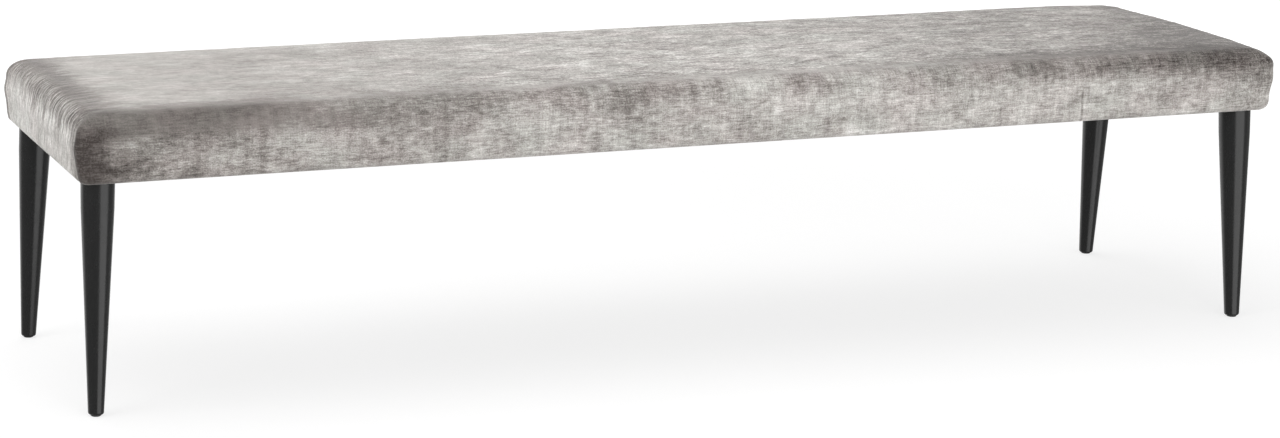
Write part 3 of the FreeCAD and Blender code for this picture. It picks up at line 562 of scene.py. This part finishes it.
def padded_profile(offset, bottom, bulge, tuck, steps, return_edge=None):
    """Points (inset, height, corner radius) up a padded form, from its lower edge to its flat top.

    offset draws the form in from the seat's outer face. steps are the counts on the turned-under
    cloth, the tuck, the side and the roundover.
    """
    under, tucked, side, rounded = steps
    radius = TOP_ROUND - offset
    points = []
    start = bottom
    if tuck:
        start = UNDERSIDE + TUCK_UP
        first = math.acos(1 - (bottom - UNDERSIDE) / TUCK_UP)
        if return_edge:
            lip = tuck * (1 - math.sin(first))
            inner = return_edge - offset
            points += [(inner + (lip - inner) * step / under, bottom) for step in range(under)]
        for step in range(tucked):
            angle = first + (math.pi / 2 - first) * step / tucked
            points.append((tuck * (1 - math.sin(angle)), start - TUCK_UP * math.cos(angle)))
    for step in range(side):
        share = step / side
        swell = (1 - math.cos(2 * math.pi * share**BULGE_LIFT)) / 2
        points.append((-bulge * swell, start + (SHOULDER - start) * share))
    for step in range(rounded + 1):
        angle = math.pi / 2 * step / rounded
        points.append((radius * (1 - math.cos(angle)), SHOULDER + radius * math.sin(angle)))
    corner = CORNER_ROUND - offset
    closing = (1 - CORNER_TOP_SHARE) / radius
    return [
        (offset + inset, height, corner * (1 - closing * min(max(inset, 0), radius)))
        for inset, height in points
    ]


def spread(count, closeness):
    """Places from -1 up to 1, which is left out, closer together at both ends."""
    shares = [index / count for index in range(count)]
    turn = 2 * math.pi
    return [2 * (share - closeness * math.sin(turn * share) / turn) - 1 for share in shares]


class Form:
    """A rounded box of rings, closed by a grid on top: its points, faces and cloth places.

    The rings start at the form's lower edge, or, when it is closed inside too, at an inner grid,
    which is flat or follows the top's crown.
    """

    def __init__(self, profile, grid, inside=None, closeness=0.0):
        columns, rows, corner_steps = grid
        self.columns = columns + 2 * corner_steps
        self.rows = rows + 2 * corner_steps
        self.corner_steps = corner_steps
        self.closeness = closeness
        self.ring_size = 2 * (self.columns + self.rows)
        self.rings = len(profile)
        self.points = np.concatenate([self.ring(*point, columns, rows) for point in profile])
        # Each panel's first face round a ring and how many it has. The front and back panels reach
        # round the corners, to seams on the ends.
        past = corner_steps + SEAM_ROWS
        self.panels = [
            (-past, self.columns + 2 * past),
            (self.columns + past, self.rows - 2 * past),
            (self.columns + self.rows - past, self.columns + 2 * past),
            (2 * self.columns + self.rows + past, self.rows - 2 * past),
        ]
        self.faces = []
        for ring in range(self.rings - 1):
            base = ring * self.ring_size
            above = base + self.ring_size
            for at in range(self.ring_size):
                after = (at + 1) % self.ring_size
                self.faces.append((base + at, base + after, above + after, above + at))
        self.side_faces = len(self.faces)
        self.add_grid(self.rings - 1, crowned=True)
        if inside:
            self.add_grid(0, crowned=inside == "crowned", facing_in=True)

    def ring(self, inset, height, corner, columns, rows):
        """Points round a rounded rectangle, from the middle of its front left corner."""
        half_x = HALF_LENGTH - inset - corner
        half_y = HALF_DEPTH - inset - corner

        def arc(middle_x, middle_y, start, halves):
            """Points round a corner, a half or two of it. The angle is 0 where it faces the front."""
            steps = self.corner_steps
            angles = [start + math.pi / 4 * index / steps for index in range(halves * steps)]
            return [(middle_x + corner * math.sin(a), middle_y - corner * math.cos(a)) for a in angles]

        half = arc(-half_x, -half_y, -math.pi / 4, 1)
        half += [(half_x * place, -half_y - corner) for place in spread(columns, self.closeness)]
        half += arc(half_x, -half_y, 0, 2)
        half += [(half_x + corner, half_y * (2 * index / rows - 1)) for index in range(rows)]
        half += arc(half_x, half_y, math.pi / 2, 1)
        whole = half + [(-x, -y) for x, y in half]
        return np.array([(x, y, height) for x, y in whole])

    def add_grid(self, ring, crowned, facing_in=False):
        """Fills a ring with a grid that keeps the ring's own points on its edge."""
        columns, rows = self.columns, self.rows
        base = ring * self.ring_size
        edge = self.points[base : base + self.ring_size]
        front = edge[: columns + 1]
        right = edge[columns : columns + rows + 1]
        back = edge[columns + rows : 2 * columns + rows + 1][::-1]
        left = np.concatenate([edge[2 * columns + rows :], edge[:1]])[::-1]
        u = np.linspace(0, 1, columns + 1)[:, None, None]
        v = np.linspace(0, 1, rows + 1)[None, :, None]
        patch = (1 - v) * front[:, None] + v * back[:, None] + (1 - u) * left[None] + u * right[None]
        corners = (1 - u) * (1 - v) * front[0] + u * (1 - v) * front[-1]
        patch -= corners + (1 - u) * v * back[0] + u * v * back[-1]
        if crowned:
            reach = HALF_DEPTH - TOP_ROUND
            in_x = np.clip((END_EDGE - np.abs(patch[..., 0])) / reach, 0, 1)
            in_y = np.clip((reach - np.abs(patch[..., 1])) / reach, 0, 1)
            rise = (1 - (1 - in_x) ** CROWN_POWER) * (1 - (1 - in_y) ** CROWN_POWER)
            patch[..., 2] += CROWN_RISE * rise
        numbers = np.zeros((columns + 1, rows + 1), int)
        numbers[:, 0] = base + np.arange(columns + 1)
        numbers[-1, :] = base + columns + np.arange(rows + 1)
        numbers[:, -1] = base + columns + rows + np.arange(columns + 1)[::-1]
        numbers[0, :] = base + (2 * columns + rows + np.arange(rows + 1)[::-1]) % self.ring_size
        start = len(self.points)
        inner = patch[1:-1, 1:-1].reshape(-1, 3)
        numbers[1:-1, 1:-1] = start + np.arange(len(inner)).reshape(columns - 1, rows - 1)
        self.points = np.concatenate([self.points, inner])
        for i in range(columns):
            for j in range(rows):
                quad = (numbers[i, j], numbers[i + 1, j], numbers[i + 1, j + 1], numbers[i, j + 1])
                self.faces.append(quad[::-1] if facing_in else quad)

    def cloth_places(self):
        """For each face corner, its place on the flat cloth, in metres. The panels part at the seams."""
        rings = self.points[: self.rings * self.ring_size].reshape(self.rings, self.ring_size, 3)
        steps = np.linalg.norm(np.diff(rings, axis=0), axis=2)
        middle = self.columns // 2
        size = self.ring_size
        down = np.concatenate([np.cumsum(steps[::-1, middle])[::-1], [0]])
        along = np.linalg.norm(np.roll(rings, -1, axis=1) - rings, axis=2)
        runs = []
        for start, count in self.panels:
            run = along[:, np.arange(start, start + count) % size]
            place = np.concatenate([np.zeros((self.rings, 1)), np.cumsum(run, axis=1)], axis=1)
            runs.append(place - place[:, -1:] / 2)
        places = []
        for index, face in enumerate(self.faces):
            if index >= self.side_faces:
                places += [(self.points[v][0], self.points[v][1]) for v in face]
                continue
            number = self.panel(index)
            at = (index - self.panels[number][0]) % size
            for corner, vertex in enumerate(face):
                ring = vertex // size
                run = runs[number][ring, at + (1 if corner in (1, 2) else 0)]
                out = down[ring]
                if number == FRONT:
                    places.append((run, FRONT_EDGE - out))
                elif number == RIGHT_END:
                    places.append((END_EDGE + out, run))
                elif number == BACK:
                    places.append((-run, out - FRONT_EDGE))
                else:
                    places.append((-END_EDGE - out, -run))
        return places

    def panel(self, face):
        """Which side panel a face of the rings is on: FRONT, RIGHT_END, BACK or LEFT_END."""
        panels = enumerate(self.panels)
        size = self.ring_size
        return next(number for number, (start, count) in panels if (face - start) % size < count)

    def on_end_panel(self):
        """For each face, 1 on the two end panels and 0 elsewhere."""
        found = np.zeros(len(self.faces), np.float32)
        for face in range(self.side_faces):
            found[face] = self.panel(face) in (RIGHT_END, LEFT_END)
        return found


def mesh_object(name, points, faces, places=None):
    mesh = bpy.data.meshes.new(name)
    mesh.from_pydata([tuple(p) for p in points], [], [tuple(int(v) for v in f) for f in faces])
    if places is not None:
        layer = mesh.uv_layers.new(name="cloth")
        layer.data.foreach_set("uv", np.array(places, np.float32).ravel())
    mesh.shade_smooth()
    made = bpy.data.objects.new(name, mesh)
    bpy.context.scene.collection.objects.link(made)
    return made


def applied(piece):
    """Turns a piece's modifiers into its mesh."""
    graph = bpy.context.evaluated_depsgraph_get()
    mesh = bpy.data.meshes.new_from_object(piece.evaluated_get(graph), depsgraph=graph)
    piece.modifiers.clear()
    piece.data = mesh
    mesh.shade_smooth()


def blown_up(piece, held):
    """Blows the sewn cover out a little, as cloth drawn over foam, with its turned-under edge held.

    Gives how far each point moved, no further than BLOWN_MOST.
    """
    group = piece.vertex_groups.new(name="held")
    group.add([int(index) for index in held], 1.0, "REPLACE")
    cloth = piece.modifiers.new("cloth", "CLOTH")
    settings = cloth.settings
    settings.quality = 6
    settings.mass = 0.3
    settings.tension_stiffness = 25
    settings.compression_stiffness = 25
    settings.shear_stiffness = 10
    settings.bending_stiffness = 0.6
    settings.use_pressure = True
    settings.uniform_pressure_force = 4
    settings.effector_weights.gravity = 0
    settings.vertex_group_mass = "held"
    cloth.point_cache.frame_start = 1
    cloth.point_cache.frame_end = BLOWN_FRAMES
    scene = bpy.context.scene
    for number in range(1, BLOWN_FRAMES + 1):
        scene.frame_set(number)
    before = coordinates(piece.data)
    after = coordinates(piece.evaluated_get(bpy.context.evaluated_depsgraph_get()).data)
    piece.modifiers.remove(cloth)
    scene.frame_set(1)
    moved = after - before
    length = np.maximum(np.linalg.norm(moved, axis=1), 1e-9)[:, None]
    return moved * np.tanh(length / BLOWN_MOST) * BLOWN_MOST / length


def coordinates(mesh):
    found = np.empty(len(mesh.vertices) * 3, np.float32)
    mesh.vertices.foreach_get("co", found)
    return found.reshape(-1, 3).astype(float)


def set_coordinates(mesh, points):
    mesh.vertices.foreach_set("co", np.asarray(points, np.float32).ravel())
    mesh.update()


def waved(points, size, seed):
    """Smooth noise from -1 to 1 at each point, with waves of a size along each axis."""
    spots = points / size + (0, 0, seed)
    return np.array([noise.noise(Vector(spot)) for spot in spots])


def eased(value, low, high):
    share = np.clip((value - low) / (high - low), 0, 1)
    return share * share * (3 - 2 * share)


def hand_of_the_cloth(form, points):
    """How far the cloth stands out at each point: soft hollows, gathers where the ends were eased
    round their edge, and the drawn-in seams of the corners."""
    x, y, z = points.T
    above = eased(z, UNDERSIDE + 2 * MM, UNDERSIDE + 20 * MM)
    hollows = HOLLOW * waved(points, HOLLOW_WAVES, 3) + HOLLOW / 2 * waved(points, SMALL_WAVES, 8)
    out = above * (FILLED_OUT + hollows)
    reach = np.abs(x) - END_EDGE
    turning = eased(reach, *GATHER_OVER) * eased(z - SHOULDER, *GATHER_HEIGHT)
    lean = np.column_stack([np.sign(x) * 3 + reach * 1.5, y / GATHER_PITCH, reach * 6])
    out += GATHER * turning * waved(lean, (1, 1, 1), 5)
    rings = form.rings * form.ring_size
    across = np.full(len(points), np.inf)
    spots = points[:rings].reshape(form.rings, form.ring_size, 3)
    for seam in [start % form.ring_size for start, _ in form.panels]:
        gap = np.linalg.norm(spots - spots[:, seam : seam + 1], axis=2).ravel()
        across[:rings] = np.minimum(across[:rings], gap)
    # The seams end on top, over the last rings of the roundover
    fade = np.zeros(len(points))
    fade[:rings] = eased(np.arange(rings) // form.ring_size, form.rings - 1, form.rings - 4)
    out -= fade * SEAM_DEPTH * np.exp(-((across / SEAM_WIDTH) ** 2))
    out += fade * SEAM_DEPTH * RIDGE_SHARE * np.exp(-((across / SEAM_WIDTH - RIDGE_ASIDE) ** 2))
    return out


def settled(points):
    """Leaves the middles of the seat's ends up, draws its corners' tops down and lets their sides
    stand out, as HAND_FOLDED says."""
    x, y, z = points.T
    high = eased(z, SHOULDER, SHOULDER + TOP_ROUND)
    from_end = HALF_LENGTH - np.abs(x)
    from_side = HALF_DEPTH - np.abs(y)
    near = (1 - eased(from_end, 0, PUFF_REACH)) * (1 - eased(from_side, 0, PUFF_REACH))
    middle = (1 - eased(from_end, *END_LIFT_FADE)) * eased(from_side, CORNER_REACH / 2, HALF_DEPTH)
    moved = points.copy()
    moved[:, 2] += high * END_LIFT * middle
    for side_x, side_y, drop, drop_reach, out, heights in HAND_FOLDED:
        here = (np.sign(x) == side_x) & (np.sign(y) == side_y)
        corner = (1 - eased(from_end, 0, CORNER_REACH)) * (1 - eased(from_side, 0, drop_reach))
        full = eased(z, *heights[:2]) * (1 - eased(z, *heights[2:]))
        moved[:, 0] += here * near * full * out * side_x
        moved[:, 2] -= here * high * corner * drop
    return moved


def make_cover(finish):
    """The sewn velvet cover, drawn over the wadding and stapled under the frame."""
    profile = padded_profile(0, UNDERSIDE, SIDE_BULGE, TUCK_IN, COVER_STEPS, RETURN_EDGE)
    form = Form(profile, COVER_GRID, closeness=COVER_CLOSENESS)
    places = form.cloth_places()
    points = settled(form.points)
    cover = mesh_object("velvet_cover", points, form.faces, places)
    panel = cover.data.attributes.new("end_panel", "FLOAT", "FACE")
    panel.data.foreach_set("value", form.on_end_panel())
    held = np.flatnonzero(points[:, 2] < UNDERSIDE + TUCK_UP / 2)
    points = points + blown_up(cover, held)
    set_coordinates(cover.data, points)
    normals = np.array([tuple(normal.vector) for normal in cover.data.vertex_normals])
    set_coordinates(cover.data, points + normals * hand_of_the_cloth(form, points)[:, None])
    wall = cover.modifiers.new("wall", "SOLIDIFY")
    wall.thickness = COVER_THICK
    wall.offset = -1
    applied(cover)
    stand_in(cover, finish, "seat_cover")


def stand_in(piece, finish, node_name):
    """Gives a piece its finish, and has it stand for its CAD node."""
    piece.data.materials.clear()
    piece.data.materials.append(finish)
    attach(piece, ROOT)
    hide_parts(node_name)


def make_foam(finish):
    """The foam slab, glued on the board: cut square below and rounded round its top."""
    profile = padded_profile(FRAME_INSET, BOARD_TOP, 0, 0, FOAM_STEPS)
    form = Form(profile, PAD_GRID, inside="flat")
    foam = mesh_object("foam_slab", settled(form.points), form.faces)
    mark_sharp(foam, FOAM_EDGE_ANGLE)
    stand_in(foam, finish, "seat_foam")


def make_wadding(finish):
    """The wadding laid over the foam and down the frame's sides: one layer with its own thickness."""
    offset = COVER_THICK + LAYER_GAP + HOLLOW + HOLLOW / 2
    hem = UNDERSIDE + WADDING_HEM
    outer = padded_profile(offset, hem, SIDE_BULGE, TUCK_IN, WADDING_OUTER_STEPS)
    inner = padded_profile(FRAME_INSET - LAYER_GAP, hem, 0, 0, WADDING_INNER_STEPS)
    form = Form(inner[::-1] + outer, PAD_GRID, inside="crowned")
    wadding = mesh_object("wadding_layer", settled(form.points), form.faces)
    stand_in(wadding, finish, "seat_wadding")


def make_dust_cover(finish):
    """The black sheet stapled under the frame. It is drawn to its staples and hangs a little between
    the rails."""
    low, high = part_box("dust_cover")
    half_x, half_y = high.x, high.y
    names = ["left_end_rail", "right_end_rail"] + [f"cross_rail_{n}" for n in range(1, 5)]
    rails = sorted([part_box(name) for name in names], key=lambda box: box[0].x)
    bays = [(left[1].x, right[0].x) for left, right in zip(rails, rails[1:])]
    inner_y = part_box("back_rail")[0].y
    points = []
    for i in range(DUST_COLUMNS + 1):
        x = half_x * (2 * i / DUST_COLUMNS - 1)
        for j in range(DUST_ROWS + 1):
            y = half_y * (2 * j / DUST_ROWS - 1)
            hang = 0
            for left, right in bays:
                if left < x < right:
                    share = (x - left) / (right - left)
                    hang = DUST_SAG * (4 * share * (1 - share)) ** SAG_ALONG
            hang *= max(0, 1 - (abs(y) / inner_y) ** SAG_ACROSS)
            ripple = noise.noise(Vector((x * 9, y * 14, 1.7)))
            points.append((x, y, high.z - DUST_LAYER / 2 - hang * (1 + RIPPLE * ripple)))
    step = DUST_ROWS + 1
    faces = [
        (i * step + j, (i + 1) * step + j, (i + 1) * step + j + 1, i * step + j + 1)
        for i in range(DUST_COLUMNS)
        for j in range(DUST_ROWS)
    ]
    sheet = mesh_object("dust_cover_sheet", points, faces)
    wall = sheet.modifiers.new("wall", "SOLIDIFY")
    wall.thickness = DUST_LAYER
    wall.offset = 0
    applied(sheet)
    stand_in(sheet, finish, "dust_cover")


def islands(mesh):
    """The corners of the box round each separate solid of a CAD mesh."""
    work = bmesh.new()
    work.from_mesh(mesh)
    bmesh.ops.remove_doubles(work, verts=work.verts, dist=MERGE_REACH)
    boxes = []
    seen = set()
    for start in work.verts:
        if start in seen:
            continue
        seen.add(start)
        found = [start]
        for vert in found:
            near = [edge.other_vert(vert) for edge in vert.link_edges]
            fresh = [other for other in near if other not in seen]
            seen.update(fresh)
            found.extend(fresh)
        spots = np.array([tuple(vert.co) for vert in found])
        boxes.append((spots.min(0), spots.max(0)))
    work.free()
    return boxes


def staple_nodes():
    """Geometry nodes that bend one wire line, and set a staple on each point, turned by its attribute."""
    group = bpy.data.node_groups.new("staples_on_points", "GeometryNodeTree")
    sockets = {}
    for name, kind in (
        ("Points", "NodeSocketGeometry"),
        ("Wire line", "NodeSocketObject"),
        ("Wire thickness", "NodeSocketFloat"),
        ("Bend radius", "NodeSocketFloat"),
        ("Twist", "NodeSocketFloat"),
        ("Seed", "NodeSocketInt"),
        ("Finish", "NodeSocketMaterial"),
    ):
        sockets[name] = group.interface.new_socket(name=name, in_out="INPUT", socket_type=kind).identifier
    group.interface.new_socket(name="Staples", in_out="OUTPUT", socket_type="NodeSocketGeometry")
    given = node(group, "NodeGroupInput").node.outputs
    line = node(group, "GeometryNodeObjectInfo", Object=given["Wire line"], out="Geometry")
    curve = node(group, "GeometryNodeMeshToCurve", Mesh=line)
    bend = given["Bend radius"]
    bent = node(group, "GeometryNodeFilletCurve", mode="POLY", Curve=curve, Count=4, Radius=bend)
    half = node(group, "ShaderNodeMath", given["Wire thickness"], 0.5, operation="MULTIPLY")
    ring = node(group, "GeometryNodeCurvePrimitiveCircle", Resolution=8, Radius=half)
    wire = node(group, "GeometryNodeCurveToMesh", Curve=bent, Profile_Curve=ring, Fill_Caps=True)
    turn = node(group, "GeometryNodeInputNamedAttribute", data_type="FLOAT", Name="turn")
    back = node(group, "ShaderNodeMath", given["Twist"], -1.0, operation="MULTIPLY")
    chance = {"Min": back, "Max": given["Twist"], "Seed": given["Seed"]}
    twist = node(group, "FunctionNodeRandomValue", data_type="FLOAT", **chance)
    angle = node(group, "ShaderNodeMath", turn, twist, operation="ADD")
    rotation = node(group, "ShaderNodeCombineXYZ", Z=angle)
    points = given["Points"]
    placed = node(group, "GeometryNodeInstanceOnPoints", Points=points, Instance=wire, Rotation=rotation)
    real = node(group, "GeometryNodeRealizeInstances", Geometry=placed)
    done = node(group, "GeometryNodeSetMaterial", Geometry=real, Material=given["Finish"])
    node(group, "NodeGroupOutput", done)
    return group, sockets


def make_staples(node_name, finish, group, sockets, seed):
    """Bent wire staples where the CAD node has its plain ones, crowns down and legs up."""
    boxes = islands(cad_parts[node_name].data)
    low, high = boxes[0]
    size = high - low
    thick = min(size[0], size[1])
    half = (max(size[0], size[1]) - thick) / 2
    tall = size[2] - thick / 2
    spots = [((low + high) / 2 * (1, 1, 0) + (0, 0, low[2] + thick / 2)) for low, high in boxes]
    line = bpy.data.meshes.new(node_name + "_line")
    ends = [(-half, 0, tall), (-half, 0, 0), (half, 0, 0), (half, 0, tall)]
    line.from_pydata(ends, [(0, 1), (1, 2), (2, 3)], [])
    pattern = bpy.data.objects.new(node_name + "_line", line)
    staples = mesh_object(node_name + "_wire", spots, [])
    turns = staples.data.attributes.new("turn", "FLOAT", "POINT")
    lengths = [high - low for low, high in boxes]
    turns.data.foreach_set("value", [0.0 if length[0] > length[1] else math.pi / 2 for length in lengths])
    modifier = staples.modifiers.new("staples", "NODES")
    modifier.node_group = group
    for name, value in (
        ("Wire line", pattern),
        ("Wire thickness", float(thick)),
        ("Bend radius", float(thick)),
        ("Twist", STAPLE_TWIST),
        ("Seed", seed),
        ("Finish", finish),
    ):
        modifier[sockets[name]] = value
    applied(staples)
    bpy.data.objects.remove(pattern)
    stand_in(staples, finish, node_name)
    staples.data.polygons.foreach_set("material_index", [0] * len(staples.data.polygons))


def mark_sharp(piece, angle):
    """Marks the edges that turn more than an angle as sharp, and smooths the rest."""
    work = bmesh.new()
    work.from_mesh(piece.data)
    for edge in work.edges:
        edge.smooth = not edge.is_manifold or edge.calc_face_angle() < angle
    work.to_mesh(piece.data)
    work.free()


def paint(finishes):
    """Gives each carried-over piece the first finish that is for how its name starts."""
    for name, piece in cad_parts.items():
        piece.data.materials.clear()
        piece.data.materials.append(next(made for starts, made in finishes if name.startswith(starts)))


# Each lamp's name, place, the point that it faces, its width and height, and its power in watts
LAMPS = (
    ("overhead", (-0.6, 0.6, 3.2), (0, 0, 0.4), (4.5, 2.6), 72),
    ("front", (-0.8, -4.4, 2.0), (-0.2, 0, 0.35), (3.0, 1.8), 62),
    ("front_right", (1.3, -3.45, 0.05), (0.1, 0, -0.1), (4.3, 4.6), 104.8),
    ("left", (-4.2, -1.0, 1.6), (-0.6, 0, 0.4), (2.4, 2.0), 46),
)


def add_lights():
    """A large soft lamp overhead, one from the front, a weaker one from the left, and a wide one from
    the front right that reaches below the floor's level, so that it shows all down the legs."""
    for name, place, target, size, power in LAMPS:
        data = bpy.data.lights.new(name, "AREA")
        data.shape = "RECTANGLE"
        data.size, data.size_y = size
        data.energy = power
        lamp = bpy.data.objects.new(name, data)
        lamp.visible_camera = False
        bpy.context.scene.collection.objects.link(lamp)
        facing = (Vector(target) - Vector(place)).to_track_quat("-Z", "Y").to_matrix().to_4x4()
        lamp.matrix_world = Matrix.Translation(Vector(place)) @ facing


def seen_directly(tree, mirror=1.0):
    """1 for what the camera sees, mirror for what a reflection or glass shows, and 0 for the light that
    falls on the bench."""
    camera = node(tree, "ShaderNodeLightPath", out="Is Camera Ray")
    rays = camera.node.outputs
    glossy, through = rays["Is Glossy Ray"], rays["Is Transmission Ray"]
    mirrored = node(tree, "ShaderNodeMath", glossy, through, operation="MAXIMUM")
    mirrored = node(tree, "ShaderNodeMath", mirrored, mirror, operation="MULTIPLY")
    return node(tree, "ShaderNodeMath", camera, mirrored, operation="MAXIMUM")


# The surrounding's strength as light, what it gains where it is seen, and how far back its white
# starts. The floor's glow where it is seen, how it grows away from the bench, and the floor's reach.
ROOM_LIGHT = 0.35
ROOM_SEEN = 0.65
WHITE_BEHIND = (0.50, 0.80)
GLOW_SHARE = 0.67
GLOW_REACH = (1.0, 5.0)
GLOW = (1.1, 1.8)
FLOOR_REACH = 30


def add_surroundings():
    """A white floor that keeps the bench's soft shadow, and a white surrounding for what looks past it.

    Reflections see the white paper behind the bench, and the dim room in front of it and below."""
    world = bpy.data.worlds.new("studio")
    bpy.context.scene.world = world
    world.use_nodes = True
    tree = world.node_tree
    tree.nodes.clear()
    ways = node(tree, "ShaderNodeTexCoord", out="Generated")
    back = node(tree, "ShaderNodeSeparateXYZ", ways, out="Y")
    white = node(tree, "ShaderNodeMapRange", back, *WHITE_BEHIND, **EASED)
    seen = seen_directly(tree, white)
    strength = node(tree, "ShaderNodeMath", seen, ROOM_SEEN, ROOM_LIGHT, operation="MULTIPLY_ADD")
    light = node(tree, "ShaderNodeBackground", Color="#ffffff", Strength=strength)
    node(tree, "ShaderNodeOutputWorld", Surface=light)

    paper, tree = new_material("matt_white_backdrop_paper")
    place = node(tree, "ShaderNodeTexCoord", out="Object")
    fibres = grain(tree, (0.9, 0.9, 1))
    tone = node(tree, "ShaderNodeValToRGB", fibres, stops=((0.2, "#f4f4f4"), (0.8, "#fafafa")))
    matt = node(tree, "ShaderNodeBsdfDiffuse", Color=tone)
    away = node(tree, "ShaderNodeVectorMath", place, operation="LENGTH")
    strength = node(tree, "ShaderNodeMapRange", away, *GLOW_REACH, *GLOW, **EASED)
    glow = node(tree, "ShaderNodeEmission", Color="#ffffff", Strength=strength)
    seen = node(tree, "ShaderNodeMath", seen_directly(tree), GLOW_SHARE, operation="MULTIPLY")
    node(tree, "ShaderNodeOutputMaterial", Surface=node(tree, "ShaderNodeMixShader", seen, matt, glow))
    far = FLOOR_REACH
    corners = [(-far, -far, 0), (far, -far, 0), (far, far, 0), (-far, far, 0)]
    floor = mesh_object("floor", corners, [(0, 1, 2, 3)])
    floor.data.materials.append(paper)
    floor.visible_glossy = False


velvet = crushed_velvet()
lacquer = black_lacquer()
beech_finish = beech("planed_beech", "#dcb48c", "#b98a62")
zinc = steel("zinc_plated_steel", "#c9ccd0", "#8f9398", 0.3, 0.5, 3 * MM)
mill = steel("mill_finish_steel_tube", "#8b8d90", "#5b5d60", 0.4, 0.6, 20 * MM)
wire = steel("galvanised_staple_wire", "#b9bcc0", "#8a8d91", 0.28, 0.45, 2 * MM)

make_cover(velvet)
make_wadding(fibre_wadding())
make_foam(foam_rubber())
make_dust_cover(spunbond())
staple_tree, staple_sockets = staple_nodes()
make_staples("cover_staples", wire, staple_tree, staple_sockets, seed=4)
make_staples("dust_cover_staples", wire, staple_tree, staple_sockets, seed=9)
paint(
    (
        ("leg_", lacquer),
        ("floor_glide", moulded_plastic()),
        (("glide_nails", "hanger_bolt", "threaded_inserts", "frame_screws", "board_screws"), zinc),
        (("front_stiffening_tube", "back_stiffening_tube"), mill),
        ("seat_board", plywood()),
        ("", beech_finish),
    )
)
add_camera()
add_lights()
add_surroundings()
bpy.context.scene.view_settings.view_transform = "Standard"
